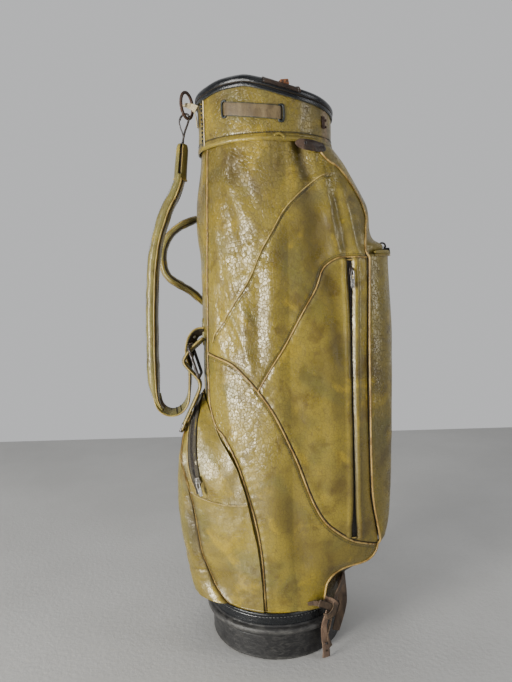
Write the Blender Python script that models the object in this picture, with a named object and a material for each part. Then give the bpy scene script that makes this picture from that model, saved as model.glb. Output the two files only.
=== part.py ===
"""Golf staff bag: a stiff club tube on a moulded rubber cup, covered in leatherette, with a large
apparel pocket on its right, a ball pocket low on its left, a carry handle and a shoulder strap.

Metres, +Z up. The origin is the centre of the cup's underside. The front is -Y, the strap side -X.
Angles are measured round the bag from +X, counter-clockwise seen from above.
"""

import math

import bmesh
import bpy
from mathutils import Matrix, Vector
from mathutils.bvhtree import BVHTree

# Driving dimensions
BAG_HEIGHT = 0.876
CUFF_RADIUS = 0.1030
CUFF_BOTTOM = 0.783
COVER_TOP = 0.7865
COVER_BOTTOM = 0.0612
LINER_RADIUS = 0.0975
LINER_WALL = 0.0025
CUP_RADIUS = 0.1079
CUP_FLOOR = 0.006
BEAD_RADIUS = 0.1177
BEAD_HEIGHT = 0.054
BAND_TOP = 0.0785
LEATHER = 0.0022
GAP = 0.0004
PIPING = 0.0017

STRAP_PIN = Vector((-0.1195, -0.020, 0.0))
HANDLE_PIN = Vector((-0.1150, 0.036, 0.0))
ZIP_NORMAL_ANGLE = math.radians(-73.3)
ZIP_LINE = Vector((0.1193, -0.0967, 0.0))
ZIP_TOP = 0.617
ZIP_BOTTOM = 0.192
ZIP_SLOT = 0.013
ARC_ZIP_PLANE = -0.1190
ARC_ZIP_HEIGHT = 0.305
ARC_ZIP_RADIUS = 0.083
ARC_ZIP_END = math.radians(-30)
DIVIDER_ANGLE = math.radians(-77.5)
DIVIDER_HEIGHT = 0.816
DIVIDER_RADIUS = 0.009

# Profiles: height to distance from the bag's axis
BODY = [(0.060, 0.1062), (0.0785, 0.1064), (0.12, 0.1070), (0.40, 0.1078), (0.56, 0.1075),
        (0.66, 0.1055), (0.72, 0.1035), (0.76, 0.1015), (0.787, 0.1000)]
APPAREL_SIDE = [(0.0795, 0.112), (0.095, 0.140), (0.115, 0.162), (0.132, 0.1755), (0.167, 0.184),
                (0.21, 0.189), (0.35, 0.194), (0.55, 0.193), (0.61, 0.190), (0.64, 0.1765),
                (0.665, 0.166), (0.694, 0.157), (0.717, 0.146), (0.744, 0.131), (0.768, 0.115),
                (0.7815, 0.1045)]
APPAREL_BACKING = [(0.0795, 0.112), (0.095, 0.132), (0.115, 0.152), (0.132, 0.165), (0.167, 0.1735),
                   (0.21, 0.1775), (0.45, 0.181), (0.62, 0.179), (0.646, 0.1715), (0.665, 0.165),
                   (0.694, 0.157), (0.717, 0.146), (0.744, 0.131), (0.768, 0.115), (0.7815, 0.1045)]
ACCESSORY = [(0.125, 0.176), (0.132, 0.1785), (0.167, 0.186), (0.21, 0.1905), (0.28, 0.1935),
             (0.35, 0.1947), (0.45, 0.195), (0.55, 0.194), (0.625, 0.1937)]
BALL_EDGE = [(0.0795, 0.1095), (0.108, 0.117), (0.139, 0.126), (0.156, 0.1315), (0.19, 0.136),
             (0.23, 0.141), (0.255, 0.1455), (0.28, 0.151), (0.31, 0.156), (0.34, 0.150),
             (0.3555, 0.143), (0.378, 0.124), (0.40, 0.112)]
BALL_CROWN = [(0.0795, 0.030), (0.09, 0.0310), (0.122, 0.0290), (0.156, 0.0240), (0.206, 0.0230),
              (0.25, 0.0170), (0.28, 0.0080), (0.31, -0.0030), (0.34, -0.0085), (0.378, -0.0010)]
# Ball pocket seams: degrees from the -X direction, and height, from the crown down one side
BALL_SEAM = [(0, 0.408), (14, 0.404), (24, 0.390), (33, 0.368), (41, 0.347), (56, 0.3135),
             (66, 0.264), (71, 0.221), (75, 0.183), (77.5, 0.13), (78.5, 0.0805)]
BALL_PIPING = [(0, 0.372), (7, 0.369), (13, 0.360), (18, 0.345), (22.5, 0.311), (24.3, 0.28),
               (25.3, 0.255), (26.4, 0.19), (28, 0.15), (31.4, 0.108), (37, 0.0805)]
# Rim: degrees round the bag to height of its top
RIM = [(-180, 0.870), (-147, 0.872), (-127, 0.8755), (-109, BAG_HEIGHT), (-94, 0.8705),
       (-78, 0.8625), (-61, 0.8565), (-42, 0.8525), (-24, 0.8485), (0, 0.846), (40, 0.848),
       (80, 0.856), (120, 0.866), (180, 0.870)]


def clear_scene():
    for obj in list(bpy.data.objects):
        bpy.data.objects.remove(obj, do_unlink=True)


def material(name, colour, roughness, metallic=0.0):
    made = bpy.data.materials.new(name)
    made.use_nodes = True
    shader = made.node_tree.nodes["Principled BSDF"]
    shader.inputs["Base Color"].default_value = (*colour, 1.0)
    shader.inputs["Roughness"].default_value = roughness
    shader.inputs["Metallic"].default_value = metallic
    return made


clear_scene()
OLIVE = material("olive_leatherette", (0.32, 0.24, 0.065), 0.42)
BROWN = material("brown_leather", (0.17, 0.10, 0.06), 0.6)
VINYL = material("black_vinyl", (0.02, 0.02, 0.022), 0.4)
RUBBER = material("black_rubber", (0.03, 0.03, 0.03), 0.6)
BOARD = material("fibreboard", (0.16, 0.13, 0.10), 0.85)
FELT = material("felt", (0.06, 0.06, 0.055), 0.95)
TAPE = material("zip_tape", (0.045, 0.04, 0.035), 0.9)
NICKEL = material("nickel", (0.62, 0.61, 0.58), 0.32, 1.0)
RUST = material("rusted_steel", (0.10, 0.075, 0.065), 0.6, 0.7)


def smooth_table(table):
    """A monotone cubic through (x, y) pairs, as a function that holds its end values."""
    xs, ys = zip(*table)
    slopes = [(ys[i + 1] - ys[i]) / (xs[i + 1] - xs[i]) for i in range(len(xs) - 1)]
    tangents = [slopes[0]]
    for before, after in zip(slopes, slopes[1:]):
        tangents.append(0.0 if before * after <= 0 else 2 * before * after / (before + after))
    tangents.append(slopes[-1])

    def value(x):
        x = min(max(x, xs[0]), xs[-1])
        i = next((k for k in range(len(xs) - 1) if x <= xs[k + 1]), len(xs) - 2)
        width = xs[i + 1] - xs[i]
        t = (x - xs[i]) / width
        return ((2 * t**3 - 3 * t**2 + 1) * ys[i] + (t**3 - 2 * t**2 + t) * width * tangents[i]
                + (3 * t**2 - 2 * t**3) * ys[i + 1] + (t**3 - t**2) * width * tangents[i + 1])

    return value


body_radius = smooth_table(BODY)
apparel_side = smooth_table(APPAREL_SIDE)
apparel_backing = smooth_table(APPAREL_BACKING)
accessory_reach = smooth_table(ACCESSORY)
ball_edge = smooth_table(BALL_EDGE)
ball_crown = smooth_table(BALL_CROWN)
rim_height_by_degree = smooth_table(RIM)


def rim_height(angle):
    return rim_height_by_degree((math.degrees(angle) + 180) % 360 - 180)


def polar(radius, angle, height):
    return Vector((radius * math.cos(angle), radius * math.sin(angle), height))


def squared_circle(angle, reach, depth, power=2.75):
    """Polar radius of a superellipse: reach along X, depth along Y."""
    across, along = abs(math.cos(angle)) / reach, abs(math.sin(angle)) / depth
    return (across**power + along**power) ** (-1 / power)


def smooth_path(points, per_span):
    """A Catmull-Rom curve through the points."""
    points = [Vector(p) for p in points]
    ends = [2 * points[0] - points[1], *points, 2 * points[-1] - points[-2]]
    path = []
    for a, b, c, d in zip(ends, ends[1:], ends[2:], ends[3:]):
        for k in range(per_span):
            t = k / per_span
            path.append(0.5 * (2 * b + (c - a) * t + (2 * a - 5 * b + 4 * c - d) * t**2
                               + (3 * b - a - 3 * c + d) * t**3))
    return [*path, points[-1]]


def add_object(name, mesh, finish):
    obj = bpy.data.objects.new(name, mesh)
    bpy.context.scene.collection.objects.link(obj)
    mesh.materials.append(finish)
    return obj


def from_bmesh(name, bm, finish, sharp=35):
    bmesh.ops.recalc_face_normals(bm, faces=bm.faces)
    mesh = bpy.data.meshes.new(name)
    bm.to_mesh(mesh)
    bm.free()
    mesh.shade_smooth()
    mesh.set_sharp_from_angle(angle=math.radians(sharp))
    return add_object(name, mesh, finish)


def ring_grid(bm, rings, close_rings, close_rows):
    """Joins rings of points into quads; close_rings joins each ring's ends, close_rows the last ring to the first."""
    verts = [[bm.verts.new(p) for p in ring] for ring in rings]
    rows, columns = len(verts), len(verts[0])
    for i in range(rows if close_rows else rows - 1):
        for j in range(columns if close_rings else columns - 1):
            a, b = verts[i], verts[(i + 1) % rows]
            bm.faces.new((a[j], a[(j + 1) % columns], b[(j + 1) % columns], b[j]))
    return verts


def sheet(name, finish, point, columns, rows, wrap=False, thickness=LEATHER):
    """A sheet of leather: point(u, v) gives its outer face, and a Solidify gives it its thickness inwards."""
    bm = bmesh.new()
    across = columns if wrap else columns + 1
    rings = [[point(j / columns, i / rows) for j in range(across)] for i in range(rows + 1)]
    ring_grid(bm, rings, wrap, False)
    return thickened(name, bm, finish, thickness)


def thickened(name, bm, finish, thickness=LEATHER):
    mesh = bpy.data.meshes.new(name)
    bm.to_mesh(mesh)
    bm.free()
    mesh.shade_smooth()
    obj = add_object(name, mesh, finish)
    solidify = obj.modifiers.new("thickness", "SOLIDIFY")
    solidify.thickness = thickness
    solidify.offset = -1
    return obj


def turned(name, finish, profile, segments=40):
    """A closed (radius, height) profile spun about the Z axis."""
    bm = bmesh.new()
    verts = [bm.verts.new((r, 0, z)) for r, z in profile]
    edges = [bm.edges.new((a, b)) for a, b in zip(verts, verts[1:] + verts[:1])]
    bmesh.ops.spin(bm, geom=verts + edges, cent=(0, 0, 0), axis=(0, 0, 1),
                   angle=2 * math.pi, steps=segments, use_merge=True)
    bmesh.ops.remove_doubles(bm, verts=bm.verts, dist=1e-6)
    return from_bmesh(name, bm, finish)


def capped_rings(name, finish, rings, sharp=50):
    """A solid through closed rings of points, with flat ends."""
    bm = bmesh.new()
    verts = ring_grid(bm, rings, True, False)
    bm.faces.new(verts[0])
    bm.faces.new(verts[-1])
    return from_bmesh(name, bm, finish, sharp)


def band(name, finish, path, across, widths, depths):
    """A strap swept along a path. Its width runs along the across direction; widths and depths are
    functions of the share of the path."""
    corners = [(1, 0.55), (0.8, 1), (-0.8, 1), (-1, 0.55), (-1, -0.55), (-0.8, -1), (0.8, -1), (1, -0.55)]
    rings = []
    for i, point in enumerate(path):
        ahead = (path[min(i + 1, len(path) - 1)] - path[max(i - 1, 0)]).normalized()
        side = (across - across.dot(ahead) * ahead).normalized()
        out = ahead.cross(side)
        share = i / (len(path) - 1)
        rings.append([point + side * x * widths(share) / 2 + out * y * depths(share) / 2
                      for x, y in corners])
    return capped_rings(name, finish, rings)


def wire(name, finish, points, radius, sides=8, closed=False):
    """A round wire or cord: a poly curve with a round bevel and filled caps."""
    curve = bpy.data.curves.new(name, "CURVE")
    curve.dimensions = "3D"
    curve.bevel_depth = radius
    curve.bevel_resolution = (sides - 4) // 2
    curve.use_fill_caps = True
    spline = curve.splines.new("POLY")
    spline.points.add(len(points) - 1)
    for target, point in zip(spline.points, points):
        target.co = (*point, 1)
    spline.use_cyclic_u = closed
    return add_object(name, curve, finish)


def box(name, finish, size, frame):
    bm = bmesh.new()
    bmesh.ops.create_cube(bm, size=1, matrix=frame @ Matrix.Diagonal((*size, 1)))
    return from_bmesh(name, bm, finish)


def rod(name, finish, start, end, radius, sides=16):
    start, end = Vector(start), Vector(end)
    turn = (end - start).to_track_quat("Z", "Y").to_matrix().to_4x4()
    bm = bmesh.new()
    bmesh.ops.create_cone(bm, cap_ends=True, segments=sides, radius1=radius, radius2=radius,
                          depth=(end - start).length, matrix=Matrix.Translation((start + end) / 2) @ turn)
    return from_bmesh(name, bm, finish)


def combine(obj, other, operation):
    """A Boolean on obj. The other shape becomes a hidden cutter."""
    other.hide_render = True
    other.display_type = "WIRE"
    cut = obj.modifiers.new(operation.lower(), "BOOLEAN")
    cut.operation = operation
    cut.object = other
    return obj


def frame_at(place, across, up):
    """A local frame: X across, Z up, Y pointing into the bag."""
    across, up = across.normalized(), up.normalized()
    inward = up.cross(across)
    return Matrix.Translation(place) @ Matrix((across, inward, up)).transposed().to_4x4()


# ---------------------------------------------------------------- base and tube


def make_base():
    turned("base_cup", RUBBER, [
        (0.0, 0.0), (CUP_RADIUS - 0.004, 0.0), (CUP_RADIUS, 0.004), (CUP_RADIUS + 0.0012, 0.043),
        (BEAD_RADIUS - 0.0022, 0.0468), (BEAD_RADIUS, 0.0505), (BEAD_RADIUS, BEAD_HEIGHT),
        (BEAD_RADIUS - 0.0022, 0.0578), (0.1125, 0.0590), (0.1115, 0.0605), (0.1040, 0.0605),
        (0.1040, CUP_FLOOR), (0.0, CUP_FLOOR)])
    turned("base_band", VINYL, [
        (0.1100, 0.0610), (0.1094, BAND_TOP - 0.004), (0.1102, BAND_TOP - 0.002), (0.1090, BAND_TOP),
        (0.1070, BAND_TOP), (0.1070, 0.0610)])
    turned("base_pad", FELT, [(0.0, 0.0064), (0.0935, 0.0064), (0.0935, 0.0104), (0.0, 0.0104)], 24)


def make_tube():
    def tube(u, v):
        angle = 2 * math.pi * u
        return polar(LINER_RADIUS, angle, 0.0066 + (rim_height(angle) - 0.0125 - 0.0066) * v)

    sheet("club_tube", BOARD, tube, 40, 3, wrap=True, thickness=LINER_WALL)
    for count, degrees in enumerate((-30, 90, 210), 1):
        middle = math.radians(degrees)
        half_width = math.radians(3.6)

        def stay(u, v, middle=middle):
            return polar(0.0994, middle + half_width * (2 * u - 1), 0.010 + 0.70 * v)

        sheet(f"steel_stay_{count}", NICKEL, stay, 2, 2, thickness=0.0012)
    sheet("body_cover", OLIVE, cover_point, 40, 8, wrap=True)


def cover_point(u, v):
    height = COVER_BOTTOM + (COVER_TOP - COVER_BOTTOM) * v
    return polar(body_radius(height), 2 * math.pi * u, height)


# ---------------------------------------------------------------- cuff, rim and dividers

ROLL_OUTSIDE = [(0.1062, -0.0180), (0.1072, -0.0090), (0.1052, -0.0025), (0.1000, 0.0),
                (0.0948, -0.0025), (0.0930, -0.0090), (0.0932, -0.0160)]
ROLL_INSIDE = [(0.0943, -0.0160), (0.0943, -0.0095), (0.0965, -0.0055), (0.1030, -0.0055),
               (0.1038, -0.0095), (0.1038, -0.0180)]
FLAP = [(0.1091, -0.0085), (0.1068, -0.0008), (0.1000, 0.0027), (0.0932, -0.0008),
        (0.0911, -0.0085), (0.0911, -0.0290)]
STRIP_START, STRIP_END = -124.5, -78.0


def make_cuff():
    def outside(u, v):
        angle = 2 * math.pi * u
        top = rim_height(angle) - 0.0130
        return polar(CUFF_RADIUS, angle, COVER_TOP + 0.0008 + (top - COVER_TOP - 0.0008) * v)

    def stiffener(u, v):
        angle = 2 * math.pi * u
        top = rim_height(angle) - 0.0125
        return polar(0.1000, angle, COVER_TOP + 0.0010 + (top - COVER_TOP - 0.0010) * v)

    cuff = sheet("cuff", OLIVE, outside, 40, 2, wrap=True)
    for number, degrees in enumerate((STRIP_START, STRIP_END)):
        cutter = box(f"slot_cutter_{number}", VINYL, (0.0042, 0.010, 0.0226), cuff_frame(degrees, 0.1019))
        combine(cuff, cutter, "DIFFERENCE")
    sheet("cuff_stiffener", BOARD, stiffener, 40, 1, wrap=True, thickness=0.0018)
    hem = [(0.1034, 0.7835), (0.1052, 0.7835), (0.1056, 0.7860), (0.1052, 0.7885), (0.1034, 0.7885)]
    turned("cuff_welt", OLIVE, hem, 40)
    ring_along_rim("rim_roll", VINYL, ROLL_OUTSIDE + ROLL_INSIDE)
    hoop = [polar(0.0990, math.radians(9 * i), rim_height(math.radians(9 * i)) - 0.0088) for i in range(40)]
    wire("rim_hoop", NICKEL, hoop, 0.0017, 6, closed=True)


def ring_along_rim(name, finish, profile, segments=40):
    """A closed profile of (radius, height from the rim's top) carried round the wavy rim."""
    bm = bmesh.new()
    rings = []
    for i in range(segments):
        angle = 2 * math.pi * i / segments
        rings.append([polar(r, angle, rim_height(angle) + z) for r, z in profile])
    ring_grid(bm, rings, True, True)
    return from_bmesh(name, bm, finish)


def make_dividers():
    """Padded bars cross the mouth; leather flaps lap over the rim above the long bar's ends."""
    reach = LINER_RADIUS - LINER_WALL - 0.0010
    crossing = DIVIDER_RADIUS + 0.0006
    bars = (("long", DIVIDER_ANGLE, -reach, reach), ("left", DIVIDER_ANGLE + math.pi / 2, -reach, -crossing),
            ("right", DIVIDER_ANGLE + math.pi / 2, crossing, reach))
    for name, angle, start, end in bars:
        near, far = polar(start, angle, DIVIDER_HEIGHT), polar(end, angle, DIVIDER_HEIGHT)
        rod(f"divider_bar_{name}", VINYL, near, far, DIVIDER_RADIUS, 14)
    for name, middle in (("front", DIVIDER_ANGLE), ("rear", DIVIDER_ANGLE + math.pi)):
        def flap(u, v, middle=middle):
            angle = middle + math.radians(33) * (u - 0.5)
            place = v * (len(FLAP) - 1)
            i = min(int(place), len(FLAP) - 2)
            (r0, z0), (r1, z1) = FLAP[i], FLAP[i + 1]
            share = place - i
            return polar(r0 + (r1 - r0) * share, angle, rim_height(angle) + z0 + (z1 - z0) * share)

        sheet(f"divider_flap_{name}", BROWN, flap, 8, 5, thickness=-0.0014)


def strip_height(degrees):
    return 0.8340 - 0.0115 * (degrees - STRIP_START) / (STRIP_END - STRIP_START)


def cuff_frame(degrees, radius, height=None):
    angle = math.radians(degrees)
    height = strip_height(degrees) if height is None else height
    return frame_at(polar(radius, angle, height), polar(1, angle + math.pi / 2, 0), Vector((0, 0, 1)))


def make_cuff_fittings():
    """The leather strip threaded through two slots in the cuff, and a riveted plate."""
    plan = [(0.1013, STRIP_START), (0.1046, STRIP_START + 0.2)]
    plan += [(0.1052, STRIP_START + (STRIP_END - STRIP_START) * k / 8) for k in range(1, 8)]
    plan += [(0.1046, STRIP_END - 0.2), (0.1013, STRIP_END)]
    path = [polar(r, math.radians(d), strip_height(d)) for r, d in plan]
    band("cuff_strip", BROWN, path, Vector((0, 0, 1)), lambda s: 0.0195, lambda s: 0.0016)
    frame = cuff_frame(-35, 0.1042, 0.8165)
    plate = box("cuff_plate", RUST, (0.0085, 0.0014, 0.0170), frame)
    for number, rise in enumerate((-0.005, 0.005)):
        head = rod(f"plate_rivet_{number}", RUST, frame @ Vector((0, 0.0004, rise)),
                   frame @ Vector((0, -0.0016, rise)), 0.0022, 10)
        combine(plate, head, "UNION")


# ---------------------------------------------------------------- pockets


def pocket_radius(radius, height):
    """Keeps a pocket's outer face clear of the body cover, even where the panel lies flat on it."""
    return max(radius, body_radius(height) + LEATHER + 2 * GAP)


def apparel_radius(angle, height, reach=None):
    reach = apparel_side(height) if reach is None else reach
    return pocket_radius(squared_circle(angle, reach, body_radius(height)), height)


def accessory_radius(angle, height):
    return max(apparel_radius(angle, height, accessory_reach(height)),
               apparel_radius(angle, height, apparel_backing(height)) + LEATHER + GAP)


def panel(name, start, end, bottom, top, radius, columns, rows):
    def point(u, v):
        angle = math.radians(start + (end - start) * u)
        height = bottom + (top - bottom) * v
        return polar(radius(angle, height), angle, height)

    return sheet(name, OLIVE, point, columns, rows)


def zip_profile(width, tape=0.0010, teeth=0.0015, teeth_width=0.0038):
    """A zip's section as (across, inward) pairs: the teeth's outer face is at 0, the tape behind them."""
    return [(-teeth_width / 2, 0), (teeth_width / 2, 0), (teeth_width / 2, teeth), (width / 2, teeth),
            (width / 2, teeth + tape), (-width / 2, teeth + tape), (-width / 2, teeth), (-teeth_width / 2, teeth)]


def level_strip(name, finish, edge, radius, profile, height, columns=10):
    """A ribbon lying level from -edge to edge: radius(angle) is its middle, profile its section with its top at
    the given height."""
    rings = []
    for k in range(columns + 1):
        angle = edge * (2 * k / columns - 1)
        rings.append([polar(radius(angle) + x, angle, height - y) for x, y in profile])
    return capped_rings(name, finish, rings)


def move_origin(obj, place):
    obj.data.transform(Matrix.Translation(-place))
    obj.location = place
    return obj


def zip_slider(name, frame, pivot, pull_length, lean=0.0):
    """A slider over the teeth and the pull hanging from it. Local X is across the zip, Y into the bag,
    and the pull hangs towards -Z, turned by lean about its hinge. The slider's origin goes to pivot."""
    def part(suffix, size, place, base=frame):
        return box(f"{name}_{suffix}", NICKEL, size, base @ Matrix.Translation(place))

    slider = part("slider", (0.0095, 0.0027, 0.0130), (0, 0.0007, 0))
    combine(slider, part("slider_bridge", (0.0030, 0.0030, 0.0080), (0, -0.0018, 0)), "UNION")
    move_origin(slider, pivot)
    hinge = frame @ Matrix.Translation((0, -0.0050, 0)) @ Matrix.Rotation(lean, 4, "X")
    pull = part("pull", (0.0070, 0.0012, pull_length), (0, 0, 0.0016 - pull_length / 2), hinge)
    eye = part("pull_eye", (0.0030, 0.02, pull_length * 0.35), (0, 0, 0.0016 - pull_length * 0.70), hinge)
    combine(pull, eye, "DIFFERENCE")
    move_origin(pull, hinge.translation)


ZIP_ACROSS = Vector((-math.sin(ZIP_NORMAL_ANGLE), math.cos(ZIP_NORMAL_ANGLE), 0))
SLIDER_START = 0.598


def make_apparel_pocket():
    bottom, top = 0.0810, 0.7815
    front = panel("apparel_front_panel", -88, -29.4, bottom, top, apparel_radius, 12, 17)
    middle = ZIP_LINE + Vector((0, 0, (ZIP_TOP + ZIP_BOTTOM) / 2))
    length = ZIP_TOP - ZIP_BOTTOM
    frame = frame_at(middle, ZIP_ACROSS, Vector((0, 0, 1)))
    combine(front, box("zip_slot_cutter", OLIVE, (ZIP_SLOT, 0.040, length), frame), "DIFFERENCE")
    panel("apparel_rear_panel", 29.4, 88, bottom, top, apparel_radius, 10, 16)
    panel("apparel_end_panel", -28.6, 28.6, bottom, top,
          lambda angle, height: apparel_radius(angle, height, apparel_backing(height)), 8, 16)
    rings = [[frame @ Vector((x, y + 0.0045, z)) for x, y in zip_profile(0.0170)]
             for z in (-length / 2 + 0.0005, length / 2 - 0.0005)]
    capped_rings("apparel_zip", TAPE, rings)
    place = frame @ Vector((0, 0.0021, SLIDER_START - middle.z))
    zip_slider("apparel", frame_at(place, ZIP_ACROSS, Vector((0, 0, 1))), place, 0.026)
    for name, side in (("front", -1), ("rear", 1)):
        edge = math.radians(29.0) * side
        heights = [0.083 + (0.780 - 0.083) * k / 26 for k in range(27)]
        cord = [polar(max(apparel_radius(edge, z), accessory_radius(edge, z) if 0.128 < z < 0.622 else 0)
                      + PIPING + 0.0007, edge, z) for z in heights]
        wire(f"apparel_piping_{name}", BROWN, cord, PIPING, 6)


def make_accessory_pocket():
    """A flat pocket over the apparel pocket's end panel, open along its top, where its zip runs."""
    panel("accessory_panel", -27.8, 27.8, 0.128, ACCESSORY_TOP, accessory_radius, 10, 8)
    edge = math.radians(21)

    def inset(amount):
        return lambda angle: accessory_radius(angle, ACCESSORY_TOP) - amount

    welt = [(-0.0014, 0), (0.0008, 0), (0.0014, 0.0015), (0.0014, 0.0060), (-0.0014, 0.0060)]
    level_strip("accessory_top_welt", OLIVE, edge, inset(0.0014), welt, ACCESSORY_TOP + 0.0065)
    level_strip("accessory_zip", TAPE, edge, inset(0.0066), zip_profile(0.0066), ACCESSORY_TOP + 0.0040)
    place = Vector((ACCESSORY_ZIP_X, -0.030, ACCESSORY_TOP + 0.0064))
    zip_slider("accessory", frame_at(place, Vector((1, 0, 0)), Vector((0, 1, 0))), place, 0.020)


ACCESSORY_TOP = 0.622
ACCESSORY_ZIP_X = 0.1811


def seam_point(table, share):
    """A point (angle, height) on a ball pocket seam; share runs from +1 at the front foot over the crown to -1."""
    place = abs(share) * (len(table) - 1)
    i = min(int(place), len(table) - 2)
    (d0, z0), (d1, z1) = table[i], table[i + 1]
    degrees = d0 + (d1 - d0) * (place - i)
    return math.pi + math.copysign(math.radians(degrees), share), z0 + (z1 - z0) * (place - i)


def ball_gusset_point(u, v):
    """u runs over the arch from its front foot to its rear foot, v from the body seam to the piping."""
    share = 1 - 2 * u
    seam_angle, seam_height = seam_point(BALL_SEAM, share)
    edge_angle, edge_height = seam_point(BALL_PIPING, share)
    blend = 0.012 + 0.976 * v
    near = polar(body_radius(seam_height) + LEATHER + 2 * GAP, seam_angle, seam_height)
    far = polar(ball_edge(edge_height), edge_angle, edge_height)
    belly = 0.006 * math.sin(math.pi * blend) * min(1, max(0, seam_height - BAND_TOP - 0.004) / 0.1)
    out = Vector((0, near.y + far.y, near.z + far.z - 2 * ARC_ZIP_HEIGHT)).normalized()
    place = near.lerp(far, blend) + out * belly
    angle = math.atan2(place.y, place.x)
    radius = pocket_radius(math.hypot(place.x, place.y) - 0.0016, place.z) + 0.0016
    return polar(radius, angle, place.z)


def crossing(inside, low, high):
    """Bisects for the value between low and high where inside() turns from true to false."""
    for _ in range(24):
        middle = (low + high) / 2
        low, high = (middle, high) if inside(middle) else (low, middle)
    return low


def make_ball_gusset():
    """The arch between the body and the pocket's face, with an open slot for the zip run into its grid."""
    half_slot = 0.0062

    def depth_at(u, x):
        return crossing(lambda v: ball_gusset_point(u, v).x > x, 0.0, 1.0)

    slot_foot = ARC_ZIP_HEIGHT + ARC_ZIP_RADIUS * math.sin(ARC_ZIP_END) - 0.0050
    foot = crossing(lambda u: ball_gusset_point(u, depth_at(u, ARC_ZIP_PLANE)).z < slot_foot, 0.0, 0.4)
    columns = [foot * k / 3 for k in range(3)] + [foot + (1 - 2 * foot) * k / 24 for k in range(25)]
    columns += [1 - foot + foot * k / 3 for k in range(1, 4)]
    rings = []
    for u in columns:
        far_side = min(depth_at(u, ARC_ZIP_PLANE - half_slot), 0.93)
        near_side = min(depth_at(u, ARC_ZIP_PLANE + half_slot), far_side - 0.10)
        depths = (0, near_side / 2, near_side, far_side, (1 + far_side) / 2, 1)
        rings.append([ball_gusset_point(u, v) for v in reversed(depths)])
    bm = bmesh.new()
    verts = ring_grid(bm, rings, False, False)
    for near, far in zip(verts[3:27], verts[4:28]):
        bm.faces.remove(bm.faces.get((near[2], near[3], far[3], far[2])))
    return thickened("ball_pocket_gusset", bm, OLIVE)


def ball_face_point(u, v):
    edge_angle, height = seam_point(BALL_PIPING, max(1 - v, 0.14))
    half = (edge_angle - math.pi) * 0.915 - 0.006
    share = 2 * u - 1
    radius = ball_edge(height) + ball_crown(height) * max(0.0, 1 - share**2) ** 0.7
    return polar(pocket_radius(radius, height), math.pi - half * share, height)


def arc_place(turn, radius, x=ARC_ZIP_PLANE):
    return Vector((x, -radius * math.cos(turn), ARC_ZIP_HEIGHT + radius * math.sin(turn)))


def arc_strip(name, finish, radius, profile, margin, steps=22):
    """A ribbon bent round the ball pocket's arch: radius is its outer face, profile its section."""
    start, end = ARC_ZIP_END - margin, math.pi - ARC_ZIP_END + margin
    rings = []
    for k in range(steps + 1):
        turn = start + (end - start) * k / steps
        rings.append([arc_place(turn, radius - y, ARC_ZIP_PLANE + x) for x, y in profile])
    return capped_rings(name, finish, rings)


def make_ball_pocket():
    make_ball_gusset()
    sheet("ball_pocket_face", OLIVE, ball_face_point, 10, 13)
    arc_strip("ball_zip", TAPE, ARC_ZIP_RADIUS - 0.0030, zip_profile(0.0074), 0.03)
    turn = ARC_ZIP_END + math.radians(7)
    up = Vector((0, math.sin(turn), math.cos(turn)))
    frame = frame_at(arc_place(turn, ARC_ZIP_RADIUS), Vector((1, 0, 0)), up)
    zip_slider("ball", frame, Vector((ARC_ZIP_PLANE, 0, ARC_ZIP_HEIGHT)), 0.022, turn)
    cord = []
    for k in range(33):
        angle, height = seam_point(BALL_PIPING, 1 - k / 16)
        cord.append(polar(ball_edge(height) + PIPING + 0.0018, angle, height))
    wire("ball_pocket_piping", BROWN, cord, PIPING, 6)


# ---------------------------------------------------------------- seams, handle, strap and tie


def on_bag(degrees, height, lift):
    """A point on the outside of the leather, at the apparel pocket or the body."""
    angle = math.radians(degrees)
    on_pocket = abs(degrees) < 88.5 and 0.0805 < height < 0.782
    radius = apparel_radius(angle, height) if on_pocket else body_radius(height)
    return polar(radius + lift, angle, height)


def make_seams():
    """Piping cords over the body's seams."""
    side = smooth_path([(-150, 0.782, 0), (-155, 0.666, 0), (-162, 0.559, 0), (-166, 0.479, 0), (-162, 0.430, 0)], 6)
    wire("side_piping", BROWN, [on_bag(d, z, PIPING + 0.0008) for d, z, _ in side], PIPING, 6)
    crossing = smooth_path([(-159, 0.470, 0), (-127, 0.452, 0), (-102, 0.424, 0), (-85, 0.366, 0),
                            (-68.6, 0.286, 0), (-55, 0.235, 0), (-44, 0.200, 0), (-38, 0.184, 0)], 4)
    step = LEATHER + 2 * GAP
    wire("hip_piping", BROWN, [on_bag(d, z, PIPING + 0.0009 + step * (d < -88.5)) for d, z, _ in crossing], PIPING, 6)


def leather_tab(name, degrees, low, high, width, lift, finish=OLIVE):
    def point(u, v):
        height = low + (high - low) * v
        spread = math.degrees(width / 2 / 0.11)
        return on_bag(degrees + spread * (2 * u - 1), height, lift)

    return sheet(name, finish, point, 4, 4, thickness=0.0015)


def make_handle():
    y = HANDLE_PIN.y
    path = smooth_path([(-0.1115, y, 0.6905), (-0.1180, y, 0.6875), (-0.1420, y, 0.6775), (-0.1630, y, 0.6570),
                        (-0.1725, y, 0.6330), (-0.1740, y, 0.6080), (-0.1630, y, 0.5895), (-0.1385, y, 0.5755),
                        (-0.1180, y, 0.5650), (-0.1115, y, 0.5610)], 2)

    def fullness(share):
        return min(1.0, 0.55 + 4 * min(share, 1 - share))

    handle = band("handle", OLIVE, path, Vector((0, 1, 0)), lambda s: 0.024 * fullness(s), lambda s: 0.0105 * fullness(s))
    move_origin(handle, HANDLE_PIN + Vector((0, 0, 0.6250)))
    for name, middle in (("upper", 0.6960), ("lower", 0.5560)):
        leather_tab(f"handle_tab_{name}", HANDLE_DEGREES, middle - 0.016, middle + 0.016, 0.026, 0.0019)


HANDLE_DEGREES = math.degrees(math.atan2(HANDLE_PIN.y, HANDLE_PIN.x))
STRAP_DEGREES = math.degrees(math.atan2(STRAP_PIN.y, STRAP_PIN.x))
RING_RADIUS = 0.0205
RING_CENTRE = Vector((-0.1200, -0.020, 0.8570))


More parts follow.
